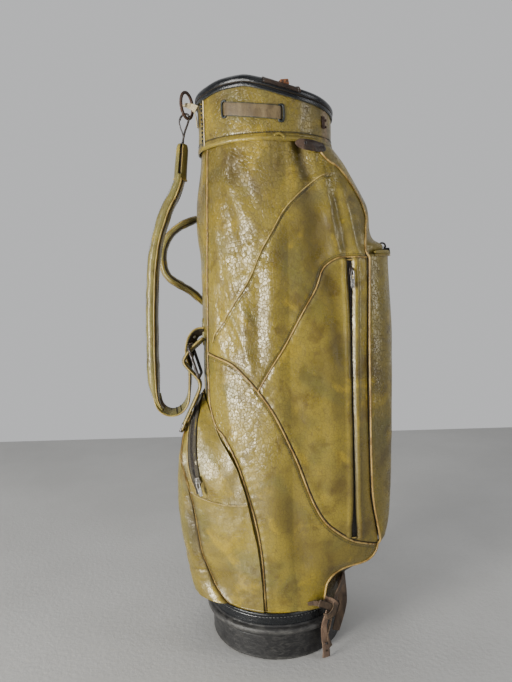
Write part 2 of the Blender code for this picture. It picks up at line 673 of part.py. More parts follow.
def strap_path(points, per_span=3, y=STRAP_PIN.y):
    return smooth_path([(x, y, z) for x, z in points], per_span)


def make_strap():
    axis = STRAP_PIN + Vector((0, 0, 0.60))
    across = Vector((0, 1, 0))
    sideways = Vector((-math.sin(math.radians(21.5)), -math.cos(math.radians(21.5)), 0))
    ring = [RING_CENTRE + RING_RADIUS * (sideways * math.cos(math.tau * k / 24)
                                         + Vector((0, 0, math.sin(math.tau * k / 24)))) for k in range(24)]
    wire("strap_ring", RUST, ring, 0.0021, 6, closed=True)
    tab = strap_path([(-0.1045, 0.8280), (-0.1055, 0.8410), (-0.1100, 0.8500), (-0.1180, 0.8545), (-0.1235, 0.8560)], 2)
    band("ring_tab", OLIVE, tab, across, lambda s: 0.012, lambda s: 0.0016)

    top = RING_CENTRE.z - RING_RADIUS
    hook = strap_path([(-0.1270, 0.7990), (-0.1235, 0.8150), (-0.1180, 0.8300), (-0.1160, top + 0.0005),
                       (-0.1172, top + 0.0046), (-0.1205, top + 0.0060), (-0.1240, top + 0.0042),
                       (-0.1254, top + 0.0002)], 3)
    move_origin(wire("snap_hook", RUST, hook, 0.0014, 6), axis)
    gate = strap_path([(-0.1262, 0.8335), (-0.1272, 0.8300), (-0.1264, 0.8200)], 3)
    move_origin(wire("snap_gate", RUST, gate, 0.0008, 6), Vector((-0.1264, STRAP_PIN.y, 0.8200)))

    sleeve = strap_path([(-0.1278, 0.7975), (-0.1295, 0.7800), (-0.1315, 0.7620), (-0.1325, 0.7465)], 2)
    sleeve = band("strap_sleeve", OLIVE, sleeve, across, lambda s: 0.030, lambda s: 0.017 - 0.007 * (s < 0.05))
    combine(sleeve, box("sleeve_bore", OLIVE, (0.006, 0.008, 0.018), Matrix.Translation((-0.1273, STRAP_PIN.y, 0.7960))), "DIFFERENCE")
    move_origin(sleeve, axis)
    pad = strap_path([(-0.1350, 0.7410), (-0.1430, 0.7230), (-0.1590, 0.6930), (-0.1770, 0.6390), (-0.1850, 0.5770),
                      (-0.1890, 0.4970), (-0.1905, 0.4300), (-0.1840, 0.3930), (-0.1700, 0.3790), (-0.1560, 0.3790)], 2)
    move_origin(band("shoulder_strap", OLIVE, pad, across, lambda s: 0.036 - 0.010 * max(0, s - 0.85) / 0.15,
                     lambda s: 0.0165 - 0.0095 * max(0, s - 0.80) / 0.20), axis)
    webbing = strap_path([(-0.1550, 0.3795), (-0.1450, 0.3850), (-0.1360, 0.4000), (-0.1320, 0.4250), (-0.1320, 0.4780),
                          (-0.1290, 0.5030), (-0.1210, 0.5130), (-0.1130, 0.5155)], 2)
    move_origin(band("strap_webbing", OLIVE, webbing, across, lambda s: 0.022, lambda s: 0.0042), axis)
    loose = strap_path([(-0.1160, 0.4850), (-0.1290, 0.4760), (-0.1390, 0.4650), (-0.1330, 0.4520), (-0.1200, 0.4390),
                        (-0.1160, 0.4240), (-0.1240, 0.3980), (-0.1400, 0.3690), (-0.1500, 0.3500)], 2, LOOSE_END_Y)
    move_origin(band("strap_loose_end", OLIVE, loose, across, lambda s: 0.018, lambda s: 0.0036), axis)
    leather_tab("strap_anchor", STRAP_DEGREES, 0.486, 0.530, 0.012, 0.0019)

    bar = Vector((-0.1270, 0, 0.4880)), Vector((-0.1130, 0, 0.4400))
    y_near, y_far = LOOSE_END_Y - 0.0135, STRAP_PIN.y + 0.0145
    corners = [bar[0] + across * y_near, bar[0] + across * y_far, bar[1] + across * y_far, bar[1] + across * y_near]
    frame_points = []
    for a, b, c in zip(corners, corners[1:] + corners[:1], corners[2:] + corners[:2]):
        frame_points += [b + (a - b).normalized() * 0.003, b + (a - b).normalized() * 0.0009
                         + (c - b).normalized() * 0.0009, b + (c - b).normalized() * 0.003]
    move_origin(wire("buckle_frame", RUST, frame_points, 0.0016, 6, closed=True), axis)
    prong_y = (STRAP_PIN.y - 0.011 + LOOSE_END_Y + 0.009) / 2
    along = (bar[1] - bar[0]).normalized()
    lift = Vector((along.z, 0, -along.x)) * 0.0033
    prong = [bar[0] + lift + across * prong_y, bar[1] + lift + along * 0.003 + across * prong_y]
    move_origin(wire("buckle_prong", RUST, prong, 0.0012, 6), bar[0] + across * prong_y)


LOOSE_END_Y = -0.0440


def make_tie():
    """A leather thong knotted at the pocket's foot, its ends hanging over the cup."""
    place = math.radians(-51.5)
    across = polar(1, place + math.pi / 2, 0)
    path = smooth_path([polar(r, place, z) + across * lean for r, z, lean in
                        ((0.1245, 0.0750, 0.0), (0.1225, 0.0600, 0.0), (0.1215, 0.0400, 0.0008),
                         (0.1235, 0.0150, 0.0020), (0.1245, 0.0035, 0.0025))], 2)
    band("tie_end", BROWN, path, across, lambda s: 0.0105, lambda s: 0.0018)
    knot = smooth_path([polar(0.1290, place, 0.0810) - across * 0.010, polar(0.1295, place, 0.0805),
                        polar(0.1290, place, 0.0815) + across * 0.010], 2)
    band("tie_knot", BROWN, knot, Vector((0, 0, 1)), lambda s: 0.010, lambda s: 0.0050)


def make_umbrella_tab():
    def point(u, v):
        squeeze = 1 - 0.25 * (2 * u - 1) ** 2
        return on_bag(-60 + 28 * u, 0.7715 + 0.0085 * (0.5 + (v - 0.5) * squeeze), 0.0022)

    sheet("umbrella_tab", BROWN, point, 8, 2, thickness=0.0018)


make_base()
make_tube()
make_cuff()
make_cuff_fittings()
make_dividers()
make_apparel_pocket()
make_accessory_pocket()
make_ball_pocket()
make_seams()
make_handle()
make_strap()
make_tie()
make_umbrella_tab()
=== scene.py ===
"""The golf bag's visual model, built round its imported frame: leather skins with worked seams, piping,
stitching, zips, strap and handle. Metres, +Z up, the bag's axis on Z. Angles are degrees round the bag
from +X, counter-clockwise from above; the bag's front is -Y."""

import math

import bmesh
import bpy
import numpy as np
from mathutils import Matrix, Vector


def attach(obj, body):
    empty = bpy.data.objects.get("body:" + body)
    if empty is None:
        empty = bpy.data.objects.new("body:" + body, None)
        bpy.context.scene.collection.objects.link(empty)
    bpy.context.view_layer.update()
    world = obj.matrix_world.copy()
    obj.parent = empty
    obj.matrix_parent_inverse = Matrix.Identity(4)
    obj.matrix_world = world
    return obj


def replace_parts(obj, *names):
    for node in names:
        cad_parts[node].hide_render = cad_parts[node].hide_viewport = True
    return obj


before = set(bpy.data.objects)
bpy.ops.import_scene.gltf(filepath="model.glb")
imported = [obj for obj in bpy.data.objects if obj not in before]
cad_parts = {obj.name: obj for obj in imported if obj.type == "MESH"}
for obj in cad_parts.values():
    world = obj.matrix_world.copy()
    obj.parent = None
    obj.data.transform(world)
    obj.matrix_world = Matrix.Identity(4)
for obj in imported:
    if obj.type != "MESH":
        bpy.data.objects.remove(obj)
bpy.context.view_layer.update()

RNG = np.random.default_rng(7)
UP = np.array([0.0, 0.0, 1.0])

# ------------------------------------------------------------------ measurements

# Profiles are (height, radius), the ball pocket's seams and the rim (degrees, height)
BODY = [(0.060, 0.1062), (0.0785, 0.1064), (0.12, 0.1070), (0.40, 0.1078), (0.56, 0.1075),
        (0.66, 0.1055), (0.72, 0.1035), (0.76, 0.1015), (0.787, 0.1000)]
APPAREL_SIDE = [(0.0795, 0.1095), (0.118, 0.1105), (0.134, 0.118), (0.146, 0.136), (0.156, 0.158),
                (0.167, 0.174), (0.182, 0.1835), (0.21, 0.189), (0.35, 0.194), (0.55, 0.193),
                (0.61, 0.190), (0.64, 0.1765), (0.665, 0.166), (0.694, 0.157), (0.717, 0.146),
                (0.744, 0.131), (0.768, 0.115), (0.7815, 0.1045)]
APPAREL_BACKING = [(0.0795, 0.1095), (0.118, 0.1105), (0.134, 0.116), (0.146, 0.130), (0.156, 0.149),
                   (0.167, 0.164), (0.182, 0.173), (0.21, 0.1775), (0.45, 0.181), (0.62, 0.179),
                   (0.646, 0.1715), (0.665, 0.165), (0.694, 0.157), (0.717, 0.146), (0.744, 0.131),
                   (0.768, 0.115), (0.7815, 0.1045)]
ACCESSORY = [(0.170, 0.1775), (0.182, 0.186), (0.21, 0.1905), (0.28, 0.1935), (0.35, 0.1947),
             (0.45, 0.195), (0.55, 0.194), (0.625, 0.1937)]
BALL_EDGE = [(0.0795, 0.1095), (0.108, 0.117), (0.139, 0.126), (0.156, 0.1315), (0.19, 0.136),
             (0.23, 0.141), (0.255, 0.1455), (0.28, 0.151), (0.31, 0.156), (0.34, 0.150),
             (0.3555, 0.143), (0.378, 0.124), (0.40, 0.112)]
BALL_CROWN = [(0.0795, 0.030), (0.09, 0.0310), (0.122, 0.0290), (0.156, 0.0240), (0.206, 0.0230),
              (0.25, 0.0170), (0.28, 0.0080), (0.31, -0.0030), (0.34, -0.0085), (0.378, -0.0010)]
BALL_SEAM = [(0, 0.408), (14, 0.404), (24, 0.390), (33, 0.368), (41, 0.347), (56, 0.3135),
             (66, 0.264), (71, 0.221), (75, 0.183), (77.5, 0.13), (78.5, 0.0805)]
BALL_PIPING = [(0, 0.372), (7, 0.369), (13, 0.360), (18, 0.345), (22.5, 0.311), (24.3, 0.28),
               (25.3, 0.255), (26.4, 0.19), (28, 0.15), (32.2, 0.110), (39.5, 0.0915), (47, 0.0805)]
RIM = [(-180, 0.870), (-147, 0.872), (-127, 0.8755), (-109, 0.876), (-94, 0.8705), (-78, 0.8625),
       (-61, 0.8565), (-42, 0.8525), (-24, 0.8485), (0, 0.846), (40, 0.848), (80, 0.856),
       (120, 0.866), (180, 0.870)]

# Seams on the leather, as (degrees, height)
SIDE_SEAM = [(-150.3, 0.786), (-150.8, 0.666), (-151.9, 0.570), (-154.1, 0.480), (-154.8, 0.4294),
             (-153.0, 0.392), (-143.5, 0.3620)]
FRONT_FOOT_SEAM = [(-143.5, 0.3620), (-133.5, 0.3480), (-122.1, 0.3127), (-113.7, 0.2676),
                   (-107.2, 0.2241), (-103.6, 0.1847), (-101.5, 0.1392), (-100.7, 0.0810)]
HIP_SEAM = [(-153.6, 0.4772), (-127.4, 0.4671), (-113.4, 0.4494), (-102.2, 0.4261), (-92.5, 0.4003),
            (-84.1, 0.3697), (-72.7, 0.318), (-62.6, 0.2572), (-55.4, 0.2245), (-47.7, 0.204),
            (-39.4, 0.1871), (-32.9, 0.1787), (-25.5, 0.1700)]
UPPER_SEAM = [(-143.7, 0.4959), (-136.3, 0.5162), (-120.6, 0.5513), (-106.8, 0.5881), (-96.2, 0.6294),
              (-87, 0.6593), (-79.2, 0.6846), (-69.1, 0.7055), (-59.7, 0.7219), (-51.2, 0.7342),
              (-44.1, 0.7379)]
MIDDLE_SEAM = [(-101.6, 0.4262), (-90.6, 0.4611), (-77.5, 0.4998), (-65.3, 0.5454), (-57.7, 0.5743),
               (-53.7, 0.5997), (-50.1, 0.6104), (-44.4, 0.6182), (-37.9, 0.6187), (-29.5, 0.6175)]
ZIP_TOP, ZIP_BOTTOM = 0.614, 0.192
CORNER = 29.4
# The apparel pocket's corner, as (height, degrees)
CORNER_LINE = [(0.0785, 53.0), (0.097, 52.4), (0.114, 51.0), (0.1255, 47.5), (0.1335, 41.0),
               (0.1395, 34.4), (0.1445, 29.0), (0.153, 25.6), (0.163, 24.6), (0.172, 24.4), (0.194, 25.9),
               (0.229, 28.6), (0.262, 30.2), (0.342, 31.2), (0.480, 31.6), (0.600, 31.0), (0.624, 30.7),
               (0.640, 29.4), (0.660, 26.6), (0.680, 23.6), (0.698, 24.4), (0.722, 28.5), (0.748, 36.5),
               (0.758, 44.0), (0.770, 48.5), (0.788, 50.0)]
LEATHER_TOP, LEATHER_FOOT = 0.788, 0.0785
DEGREE = 0.0019    # leather in one degree round the bag, in metres


def table(pairs):
    """A monotone cubic through (x, y) pairs for arrays, held at its ends."""
    x, y = (np.array(v, float) for v in zip(*pairs))
    slope = np.diff(y) / np.diff(x)
    tangent = np.concatenate([slope[:1], np.zeros(len(x) - 2), slope[-1:]])
    same = slope[:-1] * slope[1:] > 0
    tangent[1:-1][same] = (2 * slope[:-1] * slope[1:])[same] / (slope[:-1] + slope[1:])[same]

    def value(at):
        at = np.clip(np.asarray(at, float), x[0], x[-1])
        i = np.clip(np.searchsorted(x, at, side="right") - 1, 0, len(x) - 2)
        w = x[i + 1] - x[i]
        t = (at - x[i]) / w
        return ((2 * t**3 - 3 * t**2 + 1) * y[i] + (t**3 - 2 * t**2 + t) * w * tangent[i]
                + (3 * t**2 - 2 * t**3) * y[i + 1] + (t**3 - t**2) * w * tangent[i + 1])

    return value


body_radius, apparel_side, apparel_backing = table(BODY), table(APPAREL_SIDE), table(APPAREL_BACKING)
accessory_reach, ball_edge, ball_crown = table(ACCESSORY), table(BALL_EDGE), table(BALL_CROWN)
rim_by_degree, corner_degrees = table(RIM), table(CORNER_LINE)


def rim_height(degrees):
    return rim_by_degree(signed(degrees))


def signed(degrees):
    """The same direction, from -180 to 180."""
    return (np.asarray(degrees) + 180) % 360 - 180


def bell(x, width):
    """1 where x is 0, falling off on both sides."""
    return np.exp(-((x / width) ** 2))


def polar(radius, degrees, height):
    angle = np.radians(degrees)
    return np.stack(np.broadcast_arrays(radius * np.cos(angle), radius * np.sin(angle), height), -1)


def step(x, low, high):
    t = np.clip((x - low) / (high - low), 0, 1)
    return t * t * (3 - 2 * t)


def pocket_foot(degrees, height):
    """The apparel pocket's foot hangs lowest at its corners."""
    side = np.abs(signed(degrees))
    corner = 0.022 * bell(side - 24, np.where(side > 24, 11, 7))
    low = np.clip((0.24 - height) / 0.06, 0, 1)
    return height + (corner + 0.006 * np.clip((side - 25) / 28, 0, 1)) * low


def bag_radius(degrees, height, side=apparel_side):
    """The leather's outside: a squared circle over the apparel pocket, round elsewhere."""
    angle = np.radians(degrees)
    depth = body_radius(height)
    x = np.abs(np.cos(angle)) / side(pocket_foot(degrees, height))
    y = np.abs(np.sin(angle)) / depth
    pocket = (x**2.75 + y**2.75) ** (-1 / 2.75)
    over = depth + 0.0030 * step(np.cos(angle), -0.35, 0.05)
    return np.where(np.cos(angle) < 0, over, np.maximum(pocket, over))


# ------------------------------------------------------------------ noise, grids and sweeps

LATTICE = RNG.random((8, 24, 24, 24)) * 2 - 1


def noise(p, size, seed):
    """Smooth noise from -1 to 1 with features about size across. size may differ along x, y and z."""
    q = p / np.asarray(size, float) + seed * 3.7
    cell = np.floor(q).astype(int)
    f = q - cell
    f = f * f * (3 - 2 * f)
    total = 0
    for corner in range(8):
        bit = np.array([corner >> 2 & 1, corner >> 1 & 1, corner & 1])
        weight = np.prod(np.where(bit, f, 1 - f), axis=-1)
        at = (cell + bit) % 24
        total = total + weight * LATTICE[seed % 8][at[..., 0], at[..., 1], at[..., 2]]
    return total


def resample(points, spacing):
    """Evenly spaced points along a smooth curve through the given ones."""
    points = np.array(points, float)
    ends = np.vstack([2 * points[0] - points[1], points, 2 * points[-1] - points[-2]])
    t = np.linspace(0, 1, 12, endpoint=False)[:, None]
    fine = []
    for a, b, c, d in zip(ends, ends[1:], ends[2:], ends[3:]):
        curve = (2 * a - 5 * b + 4 * c - d) * t**2 + (3 * b - a - 3 * c + d) * t**3
        fine.append(0.5 * (2 * b + (c - a) * t + curve))
    fine = np.vstack([*fine, points[-1:]])
    run = distance_along(fine)
    at = np.linspace(0, run[-1], max(3, int(run[-1] / spacing) + 1))
    return np.stack([np.interp(at, run, fine[:, k]) for k in range(points.shape[1])], -1)


def on_bag(seam, spacing):
    """A seam's line in space, on the leather before it is worked."""
    line = resample([(d * DEGREE, z) for d, z in seam], spacing)
    degrees, height = line[:, 0] / DEGREE, line[:, 1]
    return polar(bag_radius(degrees, height), degrees, height)


def direction(line):
    """The unit vectors along a line."""
    ahead = np.gradient(line, axis=0)
    return ahead / np.linalg.norm(ahead, axis=1, keepdims=True)


def distance_along(line):
    return np.concatenate([[0], np.cumsum(np.linalg.norm(np.diff(line, axis=0), axis=1))])


def away(p, line):
    """Distance from points to a line, with how far along it the nearest place is."""
    shape = p.shape[:-1]
    flat = p.reshape(-1, 3)
    best = np.full(len(flat), 1e9)
    along = np.zeros(len(flat))
    run = 0.0
    for a, b in zip(line[:-1], line[1:]):
        ab = b - a
        length = np.linalg.norm(ab)
        t = np.clip((flat - a) @ ab / (length * length + 1e-12), 0, 1)
        d = np.linalg.norm(flat - a - t[:, None] * ab, axis=1)
        closer = d < best
        best = np.where(closer, d, best)
        along = np.where(closer, run + t * length, along)
        run += length
    return best.reshape(shape), along.reshape(shape)


def normals_of(p):
    """Outward normals of a grid of points whose rows rise and whose columns run counter-clockwise."""
    n = np.cross(np.gradient(p, axis=1), np.gradient(p, axis=0))
    return n / (np.linalg.norm(n, axis=-1, keepdims=True) + 1e-12)


def add_object(name, data):
    obj = bpy.data.objects.new(name, data)
    bpy.context.scene.collection.objects.link(obj)
    return obj


def mesh_object(name, verts, faces, material, values=None):
    mesh = bpy.data.meshes.new(name)
    mesh.from_pydata([tuple(v) for v in np.asarray(verts)], [], [tuple(f) for f in faces])
    for key, data in (values or {}).items():
        attribute = mesh.attributes.new(key, "FLOAT", "POINT")
        attribute.data.foreach_set("value", np.asarray(data, np.float32).ravel())
    mesh.materials.append(material)
    mesh.shade_smooth()
    return add_object(name, mesh)


def bevelled(name, bm, material, width, segments):
    """A bmesh as an object with rounded edges."""
    mesh = bpy.data.meshes.new(name)
    bm.to_mesh(mesh)
    bm.free()
    mesh.materials.append(material)
    mesh.shade_smooth()
    obj = add_object(name, mesh)
    made = obj.modifiers.new("bevel", "BEVEL")
    made.width = width
    made.segments = segments
    made.limit_method = "ANGLE"
    obj.modifiers.new("normals", "WEIGHTED_NORMAL")
    return obj


def fit(obj, body, slot, *nodes):
    """Hangs a finished piece on its body, in the place of the CAD nodes it stands for."""
    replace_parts(obj, *nodes)
    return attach(obj, body)


def grid(name, p, material, values, closed=False, hole=None, rim=0.0026):
    """A skin from a grid of points (rows, columns). Its free edges are turned in by rim, and hole marks
    the quads to leave out."""
    rows, columns = p.shape[:2]
    if rim:
        n = normals_of(p)
        if not closed:
            p = np.concatenate([p[:, :1] - rim * n[:, :1], p, p[:, -1:] - rim * n[:, -1:]], 1)
            n = np.concatenate([n[:, :1], n, n[:, -1:]], 1)
        p = np.concatenate([p[:1] - rim * n[:1], p, p[-1:] - rim * n[-1:]], 0)
        pad = ((1, 1), (0, 0) if closed else (1, 1))
        values = {k: np.pad(v, pad, mode="edge") for k, v in values.items()}
        if hole is not None:
            hole = np.pad(hole, pad)
        rows, columns = p.shape[:2]
    index = np.arange(rows * columns).reshape(rows, columns)
    right = np.roll(index, -1, axis=1) if closed else index[:, 1:]
    left = index if closed else index[:, :-1]
    quads = np.stack([left[:-1], right[:-1], right[1:], left[1:]], -1)
    if hole is not None:
        quads = quads[~hole]
    return mesh_object(name, p.reshape(-1, 3), quads.reshape(-1, 4).tolist(), material, values)


def sweep(name, path, across, section, material, caps=True):
    """Carries a closed section along a path. section(share) gives an (n, 2) array: across, and outwards."""
    path = np.asarray(path, float)
    ahead = direction(path)
    across = np.broadcast_to(np.asarray(across, float), path.shape)
    side = across - (across * ahead).sum(1, keepdims=True) * ahead
    side /= np.linalg.norm(side, axis=1, keepdims=True)
    out = np.cross(ahead, side)
    shares = np.linspace(0, 1, len(path))
    sections = np.array([section(s) for s in shares])
    p = path[:, None] + side[:, None] * sections[..., :1] + out[:, None] * sections[..., 1:]
    rows, columns = p.shape[:2]
    verts = p.reshape(-1, 3)
    index = np.arange(rows * columns).reshape(rows, columns)
    nxt = np.roll(index, -1, axis=1)
    faces = np.stack([index[:-1], nxt[:-1], nxt[1:], index[1:]], -1).reshape(-1, 4).tolist()
    if caps:
        verts = np.vstack([verts, p[0].mean(0), p[-1].mean(0)])
        a, b = len(verts) - 2, len(verts) - 1
        faces += [(index[0, (j + 1) % columns], index[0, j], a) for j in range(columns)]
        faces += [(index[-1, j], index[-1, (j + 1) % columns], b) for j in range(columns)]
    obj = mesh_object(name, verts, faces, material)
    bm = bmesh.new()
    bm.from_mesh(obj.data)
    bmesh.ops.recalc_face_normals(bm, faces=bm.faces)
    bm.to_mesh(obj.data)
    bm.free()
    return obj


def oval(width, thickness, power=2.0, count=20):
    """A superellipse section."""
    t = np.linspace(0, math.tau, count, endpoint=False)
    c, s = np.cos(t), np.sin(t)
    return np.stack([np.sign(c) * np.abs(c) ** (2 / power) * width / 2,
                     np.sign(s) * np.abs(s) ** (2 / power) * thickness / 2], -1)


def tube(name, line, radius, material, sides, closed=False):
    """A round cord or wire. radius may be one number or one for each point."""
    line = np.asarray(line, float)
    radius = np.broadcast_to(np.asarray(radius, float), len(line))
    curve = bpy.data.curves.new(name, "CURVE")
    curve.dimensions = "3D"
    curve.bevel_depth = 1.0
    curve.bevel_resolution = max(1, (sides - 4) // 2)
    curve.use_fill_caps = True
    spline = curve.splines.new("POLY")
    spline.points.add(len(line) - 1)
    spline.points.foreach_set("co", np.c_[line, np.ones(len(line))].ravel())
    spline.points.foreach_set("radius", radius)
    spline.use_cyclic_u = closed
    curve.materials.append(material)
    obj = add_object(name, curve)
    mesh = bpy.data.meshes.new_from_object(obj.evaluated_get(bpy.context.evaluated_depsgraph_get()))
    bpy.data.objects.remove(obj)
    mesh.name = name
    bm = bmesh.new()
    bm.from_mesh(mesh)
    bmesh.ops.remove_doubles(bm, verts=bm.verts, dist=1e-7)
    bm.to_mesh(mesh)
    bm.free()
    mesh.shade_smooth()
    return add_object(name, mesh)


def ring_points(matrix, radius, count, x=0.0, y=0.0, z=0.0):
    """A circle round the local Y axis through (x, y, z)."""
    turns = np.linspace(0, math.tau, count, endpoint=False)
    return [tuple(matrix @ Vector((x + radius * math.cos(a), y, z + radius * math.sin(a)))) for a in turns]


def stitches(name, line, normals, material, pitch=0.0036, length=0.0026, radius=0.00034):
    """A row of thread stitches lying along a line: each a small rounded bead that dips at its ends."""
    run = distance_along(line)
    count = int(run[-1] / pitch)
    starts = (np.arange(count) + 0.5) * run[-1] / count
    shape = np.array([(-0.5, -0.9, 0.45), (-0.36, 0.1, 0.9), (0.0, 0.35, 1.0), (0.36, 0.1, 0.9),
                      (0.5, -0.9, 0.45)])
    verts, faces = [], []
    for s in starts:
        s = s + RNG.normal(0, pitch * 0.03)
        at = np.array([[np.interp(s + o * length, run, line[:, k]) for k in range(3)] for o in shape[:, 0]])
        up = np.array([np.interp(s, run, normals[:, k]) for k in range(3)])
        up /= np.linalg.norm(up)
        ahead = at[-1] - at[0]
        ahead /= np.linalg.norm(ahead)
        side = np.cross(ahead, up)
        base = len(verts)
        for (o, lift, fat), place in zip(shape, at):
            for k in range(6):
                a = math.tau * k / 6
                rise = up * radius * (lift + fat * math.sin(a))
                verts.append(place + rise + side * radius * 1.25 * fat * math.cos(a))
        for r in range(4):
            for k in range(6):
                a, b = base + r * 6 + k, base + r * 6 + (k + 1) % 6
                faces.append((a, b, b + 6, a + 6))
        faces.append(tuple(base + k for k in reversed(range(6))))
        faces.append(tuple(base + 24 + k for k in range(6)))
    return mesh_object(name, verts, faces, material)


def radial(line):
    n = np.asarray(line) * [1, 1, 0]
    return n / np.linalg.norm(n, axis=1, keepdims=True)


def boxes(name, places, size, material, bevel):
    """Many small blocks as one mesh. places are 4x4 matrices."""
    bm = bmesh.new()
    for matrix in places:
        bmesh.ops.create_cube(bm, size=1, matrix=matrix @ Matrix.Diagonal((*size, 1)))
    return bevelled(name, bm, material, bevel, 2)


def frame_at(place, across, up):
    """X across, Z up, Y into the bag."""
    across, up = Vector(across).normalized(), Vector(up).normalized()
    return Matrix.Translation(Vector(place)) @ Matrix((across, up.cross(across), up)).transposed().to_4x4()


# ------------------------------------------------------------------ materials


class Look:
    """A material's node tree, built step by step."""

    def __init__(self, name):
        self.made = bpy.data.materials.new(name)
        self.made.use_nodes = True
        self.tree = self.made.node_tree
        self.shader = self.tree.nodes["Principled BSDF"]
        self.place = self.add("ShaderNodeTexCoord").outputs["Object"]

    def add(self, kind, inputs=None, **settings):
        node = self.tree.nodes.new(kind)
        for key, value in settings.items():
            setattr(node, key, value)
        for key, value in (inputs or {}).items():
            self.put(node.inputs[key], value)
        return node

    def put(self, socket, value):
        if isinstance(value, bpy.types.NodeSocket):
            self.tree.links.new(value, socket)
        else:
            socket.default_value = value

    def noise(self, size, detail, rough, warp=0.0, place=None, stretch=None):
        place = self.place if place is None else place
        if stretch:
            place = self.add("ShaderNodeMapping", {"Vector": place, "Scale": stretch}).outputs[0]
        return self.add("ShaderNodeTexNoise", {"Vector": place, "Scale": 1 / size, "Detail": detail,
                                               "Roughness": rough, "Distortion": warp}).outputs["Fac"]

    def vector(self, operation, a, b, output=0):
        return self.add("ShaderNodeVectorMath", {0: a, 1: b}, operation=operation).outputs[output]

    def warped(self, size, amount):
        """The object's coordinates, pushed about by noise."""
        wave = self.add("ShaderNodeTexNoise", {"Vector": self.place, "Scale": 1 / size, "Detail": 2.0})
        centred = self.vector("SUBTRACT", wave.outputs["Color"], (0.5, 0.5, 0.5))
        push = self.add("ShaderNodeVectorMath", {0: centred, "Scale": amount}, operation="SCALE").outputs[0]
        return self.vector("ADD", self.place, push)

    def cells(self, size, feature, place, smooth=0.0):
        node = self.add("ShaderNodeTexVoronoi", {"Vector": place, "Scale": 1 / size}, feature=feature)
        if feature == "SMOOTH_F1":
            node.inputs["Smoothness"].default_value = smooth
        return node.outputs["Distance"]

    def facets(self, size, place):
        """A random slope for each cell of the same size, rising or falling across it."""
        node = self.add("ShaderNodeTexVoronoi", {"Vector": place, "Scale": 1 / size}, feature="F1")
        slope = self.vector("SUBTRACT", node.outputs["Color"], (0.5, 0.5, 0.5))
        off = self.vector("SUBTRACT", place, node.outputs["Position"])
        return self.vector("DOT_PRODUCT", slope, off, "Value")

    def span(self, fac, low, high, to_low=0.0, to_high=1.0):
        inputs = {"Value": fac, "From Min": low, "From Max": high, "To Min": to_low, "To Max": to_high}
        return self.add("ShaderNodeMapRange", inputs, interpolation_type="SMOOTHSTEP").outputs[0]

    def maths(self, operation, a, b):
        return self.add("ShaderNodeMath", {0: a, 1: b}, operation=operation).outputs[0]

    def add_up(self, a, b):
        return self.maths("ADD", a, b)

    def times(self, a, b):
        return self.maths("MULTIPLY", a, b)

    def mix(self, fac, a, b):
        node = self.add("ShaderNodeMix", data_type="RGBA", clamp_factor=True)
        for socket, value in ((node.inputs["Factor"], fac), (node.inputs[6], a), (node.inputs[7], b)):
            self.put(socket, (*value, 1.0) if isinstance(value, tuple) and len(value) == 3 else value)
        return node.outputs[2]

    def attribute(self, name):
        return self.add("ShaderNodeAttribute", attribute_name=name).outputs["Fac"]

    def bump(self, height, distance):
        inputs = {"Height": height, "Distance": distance, "Strength": 1.0}
        return self.add("ShaderNodeBump", inputs).outputs[0]

    def finish(self, colour, roughness, normal=None, metallic=None, **constants):
        colour = (*colour, 1.0) if isinstance(colour, tuple) else colour
        self.put(self.shader.inputs["Base Color"], colour)
        self.put(self.shader.inputs["Roughness"], roughness)
        if normal is not None:
            self.put(self.shader.inputs["Normal"], normal)
        if metallic is not None:
            self.put(self.shader.inputs["Metallic"], metallic)
        for key, value in constants.items():
            self.shader.inputs[key.replace("_", " ")].default_value = value
        return self.made


